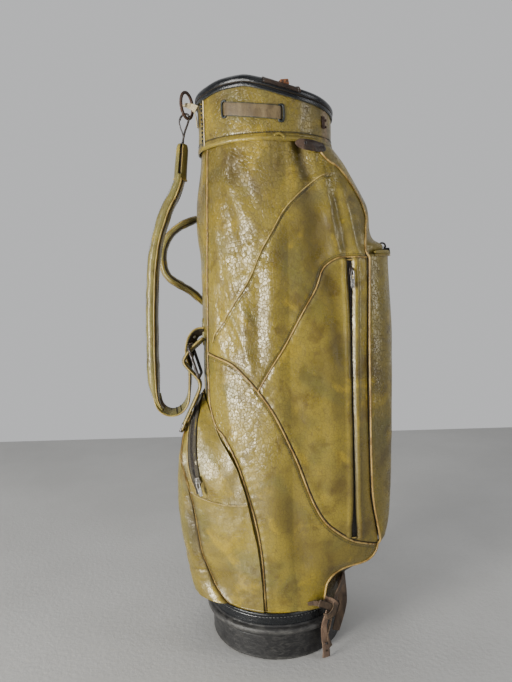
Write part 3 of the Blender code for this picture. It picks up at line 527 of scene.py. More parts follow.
def leather(name, pale, mid, dark, pebble=0.0050, depth=1.0, shine=0.29, patches=0.10):
    """Pebbled leatherette: flat-topped cells, each tipped its own way, with fine cracks between them
    darkened as painted shade, mottled by age. The wear attribute bares the pinkish backing, the shade
    attribute is painted shade for hollows, seams and edges and over the upper bag and the cuff, and
    smooth flattens the pebbles."""
    look = Look(name)
    worn = look.attribute("wear")
    shade = look.attribute("shade")
    smooth = look.attribute("smooth")
    squeezed = {"Vector": look.warped(0.014, 0.0040), "Scale": (1, 1, 0.88)}
    place = look.add("ShaderNodeMapping", squeezed).outputs[0]
    cell = look.cells(pebble, "DISTANCE_TO_EDGE", place)
    crack = look.span(cell, 0.0, 0.085)
    dome = look.span(cell, 0.0, 0.45)
    tip = look.facets(pebble, place)
    small = look.cells(pebble * 0.40, "SMOOTH_F1", look.warped(0.004, 0.0012), 0.4)
    fine = look.noise(0.0012, 3.0, 0.6)
    big = look.noise(patches, 3.0, 0.5, 0.6)
    blotch = look.noise(patches * 0.36, 4.0, 0.60, 0.5)
    speck = look.noise(0.0045, 4.0, 0.65)
    green = look.noise(patches * 0.8, 2.0, 0.5, 0.3, look.warped(0.08, 0.05))
    golden = look.noise(patches * 0.50, 3.0, 0.55, 0.4, look.warped(0.11, 0.07))
    colour = look.mix(look.span(big, 0.40, 0.60), mid, pale)
    colour = look.mix(look.span(green, 0.52, 0.68, 0.0, 0.60), colour, (0.112, 0.104, 0.027))
    colour = look.mix(look.span(golden, 0.55, 0.68, 0.0, 0.75), colour, (0.310, 0.218, 0.014))
    colour = look.mix(look.times(look.span(blotch, 0.50, 0.70), 0.58), colour, dark)
    colour = look.mix(look.times(look.span(speck, 0.50, 0.74), 0.20), colour, pale)
    # painted shade: darker in the cracks between the pebbles, and wherever the shade attribute is set
    colour = look.mix(look.times(look.span(crack, 1.0, 0.0), 0.45), colour, dark)
    colour = look.mix(look.times(shade, 0.88), colour, tuple(0.40 * v for v in dark))
    scuff = look.span(look.noise(0.006, 6.0, 0.7, 0.4), 0.30, 0.62)
    bared = look.span(look.add_up(worn, look.times(scuff, worn)), 0.45, 1.15)
    colour = look.mix(bared, colour, (0.215, 0.148, 0.082))
    gloss = look.span(look.noise(0.030, 3.0, 0.5), 0.3, 0.7, shine - 0.04, shine + 0.10)
    rough = look.add_up(gloss, look.span(crack, 1.0, 0.0, 0.0, 0.25))
    rough = look.add_up(rough, look.times(bared, 0.22))
    flat = look.span(smooth, 0.0, 1.0, 1.0, 0.22)
    height = look.add_up(look.times(crack, 0.00020 * depth), look.times(dome, 0.00009 * depth))
    height = look.add_up(height, look.times(tip, 0.15 * depth))
    height = look.times(height, flat)
    height = look.add_up(height, look.times(small, 0.00006 * depth))
    height = look.add_up(height, look.times(fine, 0.00005 * depth))
    return look.finish(colour, rough, look.bump(height, 1.0), Specular_IOR_Level=0.72,
                       Specular_Tint=(1.0, 0.93, 0.74, 1.0))


def plain_leather(name, pale, dark, shine, grain=0.0012, depth=0.00022):
    """Smooth strap leather with fine pores, creases and rubbed edges."""
    look = Look(name)
    pores = look.cells(grain, "SMOOTH_F1", look.warped(0.003, 0.001), 0.5)
    streak = look.noise(0.010, 5.0, 0.65, 0.5, stretch=(1, 1, 0.35))
    speck = look.noise(0.0025, 4.0, 0.6)
    worn = look.attribute("wear")
    colour = look.mix(look.span(streak, 0.35, 0.65), dark, pale)
    colour = look.mix(look.span(speck, 0.50, 0.75, 0.0, 0.5), colour, tuple(0.4 * v for v in dark))
    colour = look.mix(look.times(worn, 0.8), colour, tuple(min(1.0, 1.8 * v) for v in pale))
    rough = look.span(streak, 0.3, 0.7, shine - 0.08, shine + 0.10)
    height = look.add_up(pores, look.times(streak, 0.8))
    return look.finish(colour, rough, look.bump(height, depth), Specular_IOR_Level=0.34)


def dusty_black(name, base, dust, shine, grain, depth, amount):
    """Black vinyl or rubber: fine grain, grey scuffs running round, and dust where it is worn."""
    look = Look(name)
    grit = look.noise(grain, 4.0, 0.7)
    scuffs = look.noise(0.012, 6.0, 0.72, 0.8, stretch=(1, 1, 2.6))
    clouds = look.noise(0.045, 4.0, 0.6)
    worn = look.attribute("wear")
    veil = look.times(look.span(scuffs, 0.46, 0.70), look.span(clouds, 0.30, 0.65, 0.25, 1.0))
    veil = look.times(veil, amount)
    veil = look.add_up(veil, look.times(worn, look.span(scuffs, 0.35, 0.60, 0.35, 1.0)))
    colour = look.mix(veil, base, dust)
    rough = look.add_up(look.span(veil, 0.0, 0.8, shine, shine + 0.28),
                        look.span(grit, 0.3, 0.7, -0.04, 0.05))
    height = look.add_up(grit, look.times(scuffs, 1.6))
    return look.finish(colour, rough, look.bump(height, depth), Specular_IOR_Level=0.38)


def metal(name, bright, rust, rusted, shine):
    """Plated wire and castings, rusted and dull in blotches."""
    look = Look(name)
    blotch = look.noise(0.0035, 6.0, 0.7, 0.5)
    grit = look.noise(0.0008, 3.0, 0.6)
    amount = look.span(blotch, 0.62 - 0.35 * rusted, 0.80 - 0.35 * rusted)
    deep = look.mix(look.span(grit, 0.35, 0.65), rust, tuple(0.35 * v for v in rust))
    colour = look.mix(amount, bright, deep)
    rough = look.span(amount, 0.0, 1.0, shine, 0.78)
    bare = look.span(amount, 0.0, 1.0, 1.0, 0.25)
    height = look.add_up(look.times(amount, grit), look.times(blotch, 0.4))
    return look.finish(colour, rough, look.bump(height, 0.00025), bare)


def woven(name, thread, gap, pitch=0.0009):
    """Zip tape or felt: crossed threads with fuzz."""
    look = Look(name)
    wave = {"Vector": look.place, "Scale": 1 / (pitch * 6.3), "Distortion": 1.5, "Detail": 2.0}
    threads = [look.add("ShaderNodeTexWave", wave, bands_direction=way).outputs["Fac"]
               for way in ("DIAGONAL", "Z")]
    cloth = look.times(*threads)
    fuzz = look.noise(0.004, 5.0, 0.7)
    colour = look.mix(look.span(cloth, 0.0, 0.6), gap, thread)
    colour = look.mix(look.span(fuzz, 0.5, 0.8, 0.0, 0.4), colour, tuple(1.5 * v for v in thread))
    return look.finish(colour, 0.9, look.bump(look.add_up(cloth, fuzz), 0.0003), Sheen_Weight=0.15)


def board(name):
    """The tube's fibreboard: long fibres, brown mottling and grey dust."""
    look = Look(name)
    fibre = look.noise(0.0035, 5.0, 0.7, stretch=(1, 1, 0.08))
    clouds = look.noise(0.05, 5.0, 0.6)
    colour = look.mix(look.span(fibre, 0.3, 0.7), (0.07, 0.052, 0.038), (0.15, 0.115, 0.08))
    colour = look.mix(look.span(clouds, 0.45, 0.70, 0.0, 0.6), colour, (0.11, 0.10, 0.09))
    return look.finish(colour, 0.86, look.bump(fibre, 0.0004))


OLIVE = leather("olive_leather", (0.222, 0.166, 0.021), (0.142, 0.106, 0.018), (0.054, 0.030, 0.007))
OLIVE_WORN = leather("olive_leather_smooth", (0.224, 0.168, 0.023), (0.145, 0.108, 0.019),
                     (0.056, 0.032, 0.008), 0.0044, 0.7, 0.31)
STRAP_OLIVE = leather("strap_leather", (0.190, 0.158, 0.036), (0.120, 0.102, 0.026), (0.050, 0.034, 0.011),
                      0.0032, 0.6, 0.30, 0.06)
PIPING_TAN = plain_leather("piping_tan", (0.44, 0.300, 0.090), (0.20, 0.120, 0.036), 0.30, 0.0010)
# pale leather for cut edges and lapped seams, also laid as painted highlights along lit edges
PALE_EDGE_AND_HIGHLIGHT = plain_leather("pale_edge_and_highlight", (0.42, 0.315, 0.095), (0.22, 0.150, 0.045), 0.34, 0.0010)
# near-black tubes and sheets laid where seams, creases and hollows fall in shade: painted shade
PAINTED_SHADE = plain_leather("painted_shade", (0.030, 0.020, 0.010), (0.010, 0.007, 0.004), 0.80)
BROWN = plain_leather("brown_leather", (0.098, 0.064, 0.038), (0.040, 0.025, 0.016), 0.50)
STRIP = plain_leather("strip_leather", (0.150, 0.108, 0.052), (0.090, 0.062, 0.030), 0.52)
FLAP = plain_leather("flap_leather", (0.050, 0.030, 0.019), (0.014, 0.010, 0.008), 0.42)
OXBLOOD = plain_leather("oxblood_leather", (0.042, 0.026, 0.018), (0.016, 0.009, 0.006), 0.42)
PINK_LEATHER = plain_leather("faded_leather", (0.205, 0.132, 0.086), (0.090, 0.054, 0.036), 0.46)
CREAM = plain_leather("cream_leather", (0.52, 0.44, 0.27), (0.30, 0.24, 0.13), 0.5)
THREAD = plain_leather("thread", (0.075, 0.070, 0.040), (0.022, 0.026, 0.022), 0.75, 0.0006, 0.0001)
PALE_THREAD = plain_leather("pale_thread", (0.20, 0.20, 0.19), (0.09, 0.09, 0.09), 0.75, 0.0006, 0.0001)
VINYL = dusty_black("black_vinyl", (0.0050, 0.0058, 0.0070), (0.080, 0.082, 0.084), 0.24, 0.0020, 0.00022,
                    0.08)
RUBBER = dusty_black("black_rubber", (0.0085, 0.0085, 0.0095), (0.13, 0.125, 0.115), 0.38, 0.0012, 0.00026,
                     0.22)
GROMMET = dusty_black("slot_rubber", (0.012, 0.015, 0.015), (0.10, 0.11, 0.10), 0.42, 0.0012, 0.0001, 0.5)
RUST = metal("rusted_steel", (0.16, 0.14, 0.13), (0.085, 0.040, 0.022), 0.85, 0.40)
DARK_STEEL = metal("dark_steel", (0.10, 0.095, 0.095), (0.05, 0.028, 0.018), 0.55, 0.34)
NICKEL = metal("nickel", (0.62, 0.60, 0.56), (0.16, 0.10, 0.06), 0.25, 0.28)
COPPER = plain_leather("stud_brown", (0.25, 0.095, 0.035), (0.12, 0.045, 0.020), 0.45)
TAPE = woven("zip_tape", (0.060, 0.052, 0.042), (0.020, 0.017, 0.014))
BALL_TAPE = woven("ball_zip_tape", (0.072, 0.060, 0.036), (0.026, 0.021, 0.013))
FELT = woven("felt", (0.055, 0.055, 0.048), (0.025, 0.025, 0.022), 0.002)
BOARD = board("fibreboard")


# ------------------------------------------------------------------ the leather's surface

# Folds: (points as (degrees, height), half width, rise, painted shade)
FOLDS = [([(-122, 0.780), (-125, 0.740), (-113, 0.700), (-102, 0.669), (-102, 0.640)], 0.011, 0.0017, 0.0),
         ([(-87, 0.645), (-86, 0.608), (-88, 0.563), (-90, 0.491)], 0.014, 0.0019, 0.0),
         ([(-50.4, 0.729), (-47.8, 0.681), (-45.3, 0.627)], 0.009, 0.0022, 0.0),
         ([(-37.5, 0.715), (-36.0, 0.670), (-35.0, 0.624)], 0.009, 0.0016, 0.0),
         ([(-114, 0.556), (-111, 0.505), (-106, 0.451)], 0.010, 0.0014, 0.0),
         ([(-86, 0.459), (-85, 0.404)], 0.011, 0.0013, 0.0),
         ([(-139, 0.665), (-134, 0.618), (-139, 0.575), (-141, 0.535), (-136, 0.489)], 0.009, 0.0015, 0.0),
         ([(-131, 0.456), (-129, 0.400), (-125, 0.352)], 0.011, 0.0015, 0.0),
         ([(-64, 0.783), (-62, 0.757), (-60, 0.738)], 0.010, -0.0052, 0.75),
         ([(-60, 0.712), (-58, 0.670), (-56, 0.620), (-57, 0.575)], 0.017, -0.0024, 0.50),
         ([(-43, 0.705), (-41, 0.665), (-40, 0.628)], 0.008, -0.0020, 0.05),
         ([(-130, 0.717), (-123, 0.686), (-118, 0.640), (-114, 0.605)], 0.010, -0.0016, 0.10),
         ([(-99, 0.590), (-100, 0.540), (-101, 0.480)], 0.011, -0.0017, 0.08),
         ([(-127, 0.528), (-122, 0.494)], 0.009, -0.0012, 0.05),
         ([(-50, 0.590), (-47, 0.530), (-45, 0.475)], 0.012, -0.0014, 0.45),
         ([(-72, 0.400), (-70, 0.345), (-66, 0.300)], 0.013, -0.0012, 0.18),
         ([(-78, 0.250), (-73, 0.190), (-70, 0.145)], 0.016, -0.0020, 0.28),
         ([(-58, 0.160), (-70, 0.130), (-84, 0.118)], 0.014, 0.0012, 0.0),
         ([(-50, 0.480), (-49, 0.400), (-49, 0.320), (-50, 0.260)], 0.012, 0.0013, 0.0),
         ([(172, 0.708), (174, 0.690), (172, 0.668)], 0.034, 0.0042, 0.0),
         ([(168, 0.585), (168, 0.560), (170, 0.530)], 0.026, 0.0024, 0.0),
         ([(110, 0.740), (118, 0.660), (112, 0.580), (120, 0.500)], 0.012, 0.0016, 0.0),
         ([(85, 0.700), (80, 0.620), (84, 0.520), (78, 0.430)], 0.013, 0.0017, 0.0),
         ([(97, 0.690), (98, 0.600), (95, 0.500)], 0.011, -0.0017, 0.10),
         ([(62, 0.740), (60, 0.690), (56, 0.640)], 0.012, -0.0030, 0.25),
         ([(48, 0.560), (46, 0.450), (47, 0.340)], 0.013, -0.0016, 0.15),
         ([(130, 0.420), (122, 0.330), (126, 0.240)], 0.013, 0.0015, 0.0),
         ([(70, 0.330), (76, 0.240), (72, 0.160)], 0.015, -0.0018, 0.20)]
REAR_SEAM = [(88, 0.786), (88, 0.60), (88, 0.40), (88, 0.20), (88, 0.081)]
REAR_HIP_SEAM = [(150, 0.420), (130, 0.400), (108, 0.345), (92, 0.285), (75, 0.235), (55, 0.198),
                 (35, 0.180), (28.0, 0.172)]
CORDED = [SIDE_SEAM, FRONT_FOOT_SEAM, HIP_SEAM, MIDDLE_SEAM, REAR_SEAM, REAR_HIP_SEAM]
FOLD_LINES = [(on_bag(points, 0.012), *rest) for points, *rest in FOLDS]
CORD_LINES = [on_bag(seam, 0.007) for seam in CORDED]
LAP_LINE = on_bag(UPPER_SEAM, 0.007)
lap_height = table(UPPER_SEAM)


def relief(p, degrees, height):
    """How far the leather stands out, and its painted shade in hollows, along seams and over the upper
    bag: folds, seams, puckers and wrinkles.
    """
    rise = 0.0019 * noise(p, (0.055, 0.055, 0.140), 0) + 0.0007 * noise(p, (0.022, 0.022, 0.050), 1)
    shade = np.zeros(p.shape[:-1])
    for line, width, lift, dark in FOLD_LINES:
        near = bell(away(p, line)[0], width)
        rise = rise + 1.5 * lift * near * (1 + 0.25 * noise(p, 0.022, 2))
        # painted shade in the folds
        shade = shade + dark * near
    for line in CORD_LINES:
        d, along = away(p, line)
        rise = rise - 0.0009 * bell(d, 0.0030) + 0.0006 * bell(d - 0.0075, 0.005)
        pull = np.exp(-d / 0.009) * step(d, 0.001, 0.004)
        rise = rise + 0.00042 * pull * np.sin(along / 0.0021 + 3 * noise(p, 0.03, 3))
        # painted shade along the corded seams
        shade = shade + 0.85 * bell(d, 0.0023) + 0.10 * np.exp(-d / 0.012)
    d, along = away(p, LAP_LINE)
    angle = signed(degrees)
    over = step(height - lap_height(angle), -0.0008, 0.0004)
    near = bell(d, 0.012)
    rise = rise + 0.0011 * over * near - 0.0006 * (1 - over) * bell(d, 0.0020)
    rise = rise - 0.0006 * (1 - over) * bell(d - 0.0034, 0.0012)
    # painted shade under the lap's edge and along its stitch line
    shade = shade + (1 - over) * (0.65 * bell(d, 0.0011) + 0.25 * bell(d - 0.0034, 0.0010))
    rise = rise + 0.00035 * np.exp(-d / 0.010) * np.sin(along / 0.0023 + 3 * noise(p, 0.03, 4))
    gathers = step(height, 0.690, 0.775)
    rise = rise + 0.00075 * gathers * noise(p, (0.0055, 0.0055, 0.060), 5)
    left = bell(angle + 128, 26) * step(height, 0.40, 0.50) * step(height, 0.80, 0.66)
    slanted = np.stack([p[..., 0] + 0.45 * p[..., 2], p[..., 1], p[..., 2] - 0.45 * p[..., 0]], -1)
    rise = rise + 0.00060 * left * noise(slanted, (0.0055, 0.0055, 0.024), 6)
    rise = rise + 0.00030 * noise(p, 0.0070, 7) * (1 - 0.7 * step(height, 0.34, 0.22))
    # painted shade: the upper bag darker, most on its left
    shade = shade + 0.36 * step(height, 0.56, 0.75) * bell(angle + 138, 36)
    shade = shade + 0.10 * step(height, 0.60, 0.74)
    waist = step(height, 0.105, 0.082)
    rise = rise - 0.0014 * waist * np.where(np.cos(np.radians(degrees)) > -0.2, 1.0, 0.4)
    return rise, np.clip(shade, 0, 1)


def leather_at(degrees, height, lift=0.0):
    """The worked surface: its points, its outward normals and the painted shade in its hollows and
    over its upper part.
    """
    degrees, height = np.broadcast_arrays(np.asarray(degrees, float), np.asarray(height, float))

    def unworked(degrees, height):
        return polar(bag_radius(degrees, height), degrees, height)

    p = unworked(degrees, height)
    turn = unworked(degrees + 0.3, height) - p
    climb = unworked(degrees, height + 0.001) - p
    n = np.cross(turn, climb)
    n /= np.linalg.norm(n, axis=-1, keepdims=True)
    rise, shade = relief(p, degrees, height)
    return p + n * (rise + lift)[..., None], n, shade


def seam_on_leather(seam, lift=0.0, shift=0.0):
    """A seam's line on the worked surface, moved sideways by shift (metres), with its normals."""
    line = resample([(d * DEGREE, z) for d, z in seam], 0.0022)
    ahead = direction(line)
    line = line + shift * np.stack([ahead[:, 1], -ahead[:, 0]], -1)
    p, n, _ = leather_at(line[:, 0] / DEGREE, line[:, 1], lift)
    return p, n


def smoothness(degrees, height):
    """Where the pebbles are rubbed flat: the foot and the bag's right."""
    angle = signed(degrees)
    low = step(height, 0.36, 0.24)
    right = step(angle, -92, -64) * step(height, 0.76, 0.66) * (angle < 0)
    return np.clip(0.25 + 0.75 * np.maximum(low, 0.8 * right), 0, 1)


ZIP_HALF = 1.25
ZIP_CENTRE = 360 - 39.0
zip_half = table([(0.180, 1.30), (0.200, 1.35), (0.225, 0.85), (0.260, 0.42), (0.420, 0.34), (0.520, 0.56),
                  (0.575, 1.05), (0.614, 1.30)])
zip_lean = table([(0.190, 1.0), (0.260, 0.8), (0.420, 0.4), (0.560, 0.0), (0.614, -0.3)])


def make_wrap():
    """Body and apparel pocket sides in one worked skin, open along the zip."""
    left, right = ZIP_CENTRE - ZIP_HALF, ZIP_CENTRE + ZIP_HALF
    degrees = np.concatenate([np.linspace(CORNER, left, 520), np.linspace(left, right, 5)[1:],
                              np.linspace(right, 360 - CORNER, 26)[1:]])
    height = np.concatenate([np.linspace(LEATHER_FOOT, ZIP_BOTTOM, 74),
                             np.linspace(ZIP_BOTTOM, ZIP_TOP, 236)[1:],
                             np.linspace(ZIP_TOP, LEATHER_TOP, 104)[1:]])
    d, z = np.meshgrid(degrees, height)
    lean = zip_lean(z)
    side = np.where(d > 180, 360 - d, d)
    reach = 7.2 + 34 * step(z, ZIP_TOP + 0.014, 0.70) + 45 * step(z, ZIP_BOTTOM - 0.006, 0.155)
    shift = (corner_degrees(z) - CORNER) * np.clip(1 - (side - CORNER) / reach, 0, 1)
    lips = zip_half(z) / ZIP_HALF
    off = d - ZIP_CENTRE
    beyond = np.sign(off) * ZIP_HALF * (lips - 1) * np.exp(-((np.abs(off) - ZIP_HALF) / 2.0))
    narrowed = np.where(np.abs(off) < ZIP_HALF, off * (lips - 1), beyond)
    d = d + np.where(d > 180, -shift, shift) + narrowed + lean * bell(off, 6)
    p, n, shade = leather_at(d, z)
    to_zip = np.abs(d - ZIP_CENTRE - lean) - zip_half(z)
    inside_zip = (z > ZIP_BOTTOM - 0.004) & (z < ZIP_TOP + 0.004)
    roll = bell(np.maximum(to_zip, 0), 0.55) * inside_zip
    bulge = 0.0022 * bell(to_zip - 1.9, 1.1) * inside_zip
    p = p + n * (bulge - 0.0024 * roll)[..., None]
    # painted shade where the leather rolls into the zip
    shade = np.clip(shade + 0.8 * bell(np.maximum(to_zip, 0), 0.35) * inside_zip, 0, 1)
    grid_d = (degrees[1:] + degrees[:-1]) / 2
    middle_z = (z[1:, 1:] + z[:-1, :-1]) / 2
    hole = (np.abs(grid_d - ZIP_CENTRE) < ZIP_HALF)[None] & (middle_z > ZIP_BOTTOM) & (middle_z < ZIP_TOP)
    foot = step(z, 0.092, 0.0785)
    wear = 0.30 * foot + 0.10 * step(noise(p, 0.06, 1), 0.3, 0.8)
    values = {"shade": shade, "wear": wear, "smooth": smoothness(d, z)}
    skin = grid("bag_leather", p, OLIVE, hole=hole, values=values)
    return fit(skin, "bag", "olive_leatherette", "body_cover", "apparel_front_panel", "apparel_rear_panel")


def make_pocket_end():
    """The apparel pocket's rounded end."""
    share, z = np.meshgrid(np.linspace(-1, 1, 90), np.linspace(LEATHER_FOOT + 0.001, 0.7815, 340))
    d = share * (corner_degrees(z) - 0.5)
    p = polar(bag_radius(d, z, apparel_backing), d, z)
    n = normals_of(p)
    edge = (1 - np.abs(share)) * 28.9
    puff = -0.0075 * (1 - np.exp(-edge / 5)) * bell(z - 0.652, 0.026)
    puff = puff + 0.0095 * (1 - np.exp(-edge / 5)) * bell(z - 0.6345, 0.0088)
    rise = puff + 0.0010 * noise(p, (0.03, 0.03, 0.07), 2) + 0.0005 * noise(p, (0.012, 0.008, 0.04), 3)
    p = p + n * rise[..., None]
    # painted shade along the edges, at the foot, under the hump, and a little all over
    shade = 0.9 * bell(edge, 0.9) + 0.45 * step(z, 0.16, 0.13) + 0.5 * step(z, 0.630, 0.624) + 0.05
    skin = grid("pocket_end_leather", p, OLIVE, values={"shade": np.clip(shade, 0, 1), "wear": 0.12 + 0 * z,
                                                        "smooth": 0.3 + 0 * z})
    fit(skin, "bag", "olive_leatherette", "apparel_end_panel")


def make_accessory():
    """The flat pocket sewn over the apparel pocket's end."""
    share, z = np.meshgrid(np.linspace(-1, 1, 90), np.linspace(0.170, 0.6225, 250))
    d = share * (corner_degrees(z) - 1.4)
    p = polar(accessory_radius(d, z), d, z)
    n = normals_of(p)
    edge = (1 - np.abs(share)) * 28.0
    rise = 0.0008 * noise(p, (0.03, 0.03, 0.12), 4) + 0.0004 * noise(p, (0.01, 0.01, 0.03), 5)
    rise = rise - 0.0012 * bell(edge, 1.2) - 0.0020 * step(z, 0.176, 0.170) - 0.0050 * step(z, 0.50, 0.62)
    p = p + n * rise[..., None]
    # painted shade along the edges
    shade = 0.8 * bell(edge, 0.7)
    skin = grid("accessory_leather", p, OLIVE, values={"shade": shade, "wear": 0.16 * step(z, 0.61, 0.622),
                                                       "smooth": 0.25 + 0 * z})
    fit(skin, "bag", "olive_leatherette", "accessory_panel")


def accessory_radius(degrees, height):
    """The flat pocket's outside, nowhere inside its backing."""
    backing = bag_radius(degrees, height, apparel_backing) + 0.0026
    return np.maximum(bag_radius(degrees, height, accessory_reach), backing)


def corner_line(side):
    """The pocket's corner seam, outside both panels."""
    z = np.linspace(0.082, 0.781, 1400)
    corner = corner_degrees(z)
    wrap, _, _ = leather_at(corner * side, z)
    radius = np.hypot(wrap[:, 0], wrap[:, 1])
    near = (corner - 1.6) * side
    pocket = accessory_radius(near, z)
    on_pocket = step(z, 0.168, 0.178) * step(z, 0.626, 0.616)
    radius = np.maximum(radius, radius * (1 - on_pocket) + (pocket - 0.0006) * on_pocket)
    return resample(polar(radius, corner * side * 0.995, z), 0.0021)


def cord(name, line, normals, radius, lift):
    """A piping cord that lies on a seam, a little uneven along its length."""
    wobble = 1 + 0.05 * noise(line, 0.008, 3)
    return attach(tube(name, line + normals * lift, radius * wobble, PIPING_TAN, 12), "bag")


def make_piping():
    """Cords in the corners and seams, with dark tubes of painted shade beside them, and the
    stitches along the seams.
    """
    for name, side, node in (("corner_piping_front", -1, "apparel_piping_front"),
                             ("corner_piping_rear", 1, "apparel_piping_rear")):
        line = corner_line(side)
        n = radial(line)
        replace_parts(cord(name, line, n, 0.0015, 0.0012), node)
        # a dark tube beside each corner cord: painted shade
        inner = line - n * 0.0006 + np.array([0, 0.0024 * -side, 0])
        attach(tube(f"{name}_groove", inner, 0.0009, PAINTED_SHADE, 8), "bag")
    sewn = {"side_cord": (SIDE_SEAM, 0.0014, "side_piping"),
            "front_foot_cord": (FRONT_FOOT_SEAM, 0.0013, None),
            "hip_cord": (HIP_SEAM, 0.0013, "hip_piping"), "middle_cord": (MIDDLE_SEAM, 0.0010, None),
            "rear_cord": (REAR_SEAM, 0.0013, None), "rear_hip_cord": (REAR_HIP_SEAM, 0.0013, None)}
    for name, (seam, radius, node) in sewn.items():
        line, n = seam_on_leather(seam)
        made = cord(name, line, n, radius, 0.0009)
        # dark tubes beside these cords: painted shade
        if name in ("side_cord", "hip_cord", "front_foot_cord"):
            painted_shade, out = seam_on_leather(seam, shift=-0.0020)
            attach(tube(f"{name}_groove", painted_shade + out * 0.0001, 0.0007, PAINTED_SHADE, 6), "bag")
        if node:
            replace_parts(made, node)
    for name, seam, shift in (("hip_stitches", HIP_SEAM, 0.0048), ("middle_stitches", MIDDLE_SEAM, -0.0042),
                              ("rear_hip_stitches", REAR_HIP_SEAM, 0.0048)):
        line, n = seam_on_leather(seam, 0.0002, shift)
        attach(stitches(name, line, n, THREAD), "bag")
    # the lap's pale edge, partly a painted highlight
    line, n = seam_on_leather(UPPER_SEAM)
    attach(tube("pale_edge_and_highlight", line + n * 0.0004, 0.0010, PALE_EDGE_AND_HIGHLIGHT, 8), "bag")
    line, n = seam_on_leather(UPPER_SEAM, 0.0002, 0.0036)
    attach(stitches("lap_stitches", line, n, THREAD, 0.0038), "bag")


# ------------------------------------------------------------------ ball pocket

ARC_PLANE, ARC_HEIGHT, ARC_RADIUS, ARC_END = -0.1190, 0.305, 0.083, math.radians(-30)


def arch_curve(pairs):
    """A ball pocket seam from its front foot over the crown to its rear foot: share from +1 to -1."""
    full = pairs[::-1] + [(-d, z) for d, z in pairs[1:]]
    shares = np.linspace(1, -1, len(full))[::-1]
    degrees = np.array([d for d, _ in full])[::-1]
    heights = np.array([z for _, z in full])[::-1]
    fine = resample(np.stack([degrees * DEGREE, heights, shares], -1), 0.001)
    order = np.argsort(fine[:, 2])
    fine = fine[order]

    def value(share):
        return (math.pi + np.radians(np.interp(share, fine[:, 2], fine[:, 0] / DEGREE)),
                np.interp(share, fine[:, 2], fine[:, 1]))

    return value


ball_seam, ball_piping = arch_curve(BALL_SEAM), arch_curve(BALL_PIPING)


def gusset(u, v):
    """u runs over the arch from its front foot, v from the body seam to the piping."""
    share = 1 - 2 * u
    seam_angle, seam_height = ball_seam(share)
    edge_angle, edge_height = ball_piping(share)
    near = polar(body_radius(seam_height) + 0.0016, np.degrees(seam_angle), seam_height)
    far = polar(ball_edge(edge_height) + 0.0004, np.degrees(edge_angle), edge_height)
    belly = 0.0075 * np.sin(np.pi * v) * np.clip((seam_height - 0.0825) / 0.1, 0, 1)
    out = np.stack([np.zeros_like(v), near[..., 1] + far[..., 1],
                    near[..., 2] + far[..., 2] - 2 * ARC_HEIGHT], -1)
    out /= np.linalg.norm(out, axis=-1, keepdims=True)
    place = near + (far - near) * v[..., None] + out * belly[..., None]
    radius = np.maximum(np.hypot(place[..., 0], place[..., 1]), body_radius(place[..., 2]) + 0.0014)
    return polar(radius, np.degrees(np.arctan2(place[..., 1], place[..., 0])), place[..., 2])


def gusset_depth(u, x):
    """Where across the gusset the given x lies, for each u."""
    v = np.linspace(0, 1, 120)
    x = np.broadcast_to(x, u.shape)
    return np.array([np.interp(-b, -gusset(np.full(v.shape, a), v)[:, 0], v) for a, b in zip(u, x)])


def gusset_turn(u):
    """The angle round the zip's arc that each u of the gusset stands at."""
    p = gusset(u, gusset_depth(u, ARC_PLANE))
    return np.arctan2(p[:, 2] - ARC_HEIGHT, -p[:, 1])


def zip_sway(turn):
    """The ball pocket's zip sways towards the pocket's face on both flanks."""
    side = np.minimum(turn, math.pi - turn)
    return -0.0085 * np.sin(np.pi * np.clip((side - ARC_END) / math.radians(112), 0, 1))


def gusset_seam_height(x):
    return 0.2535 - 0.28 * (x + 0.119) + 3.0 * (x + 0.119) ** 2


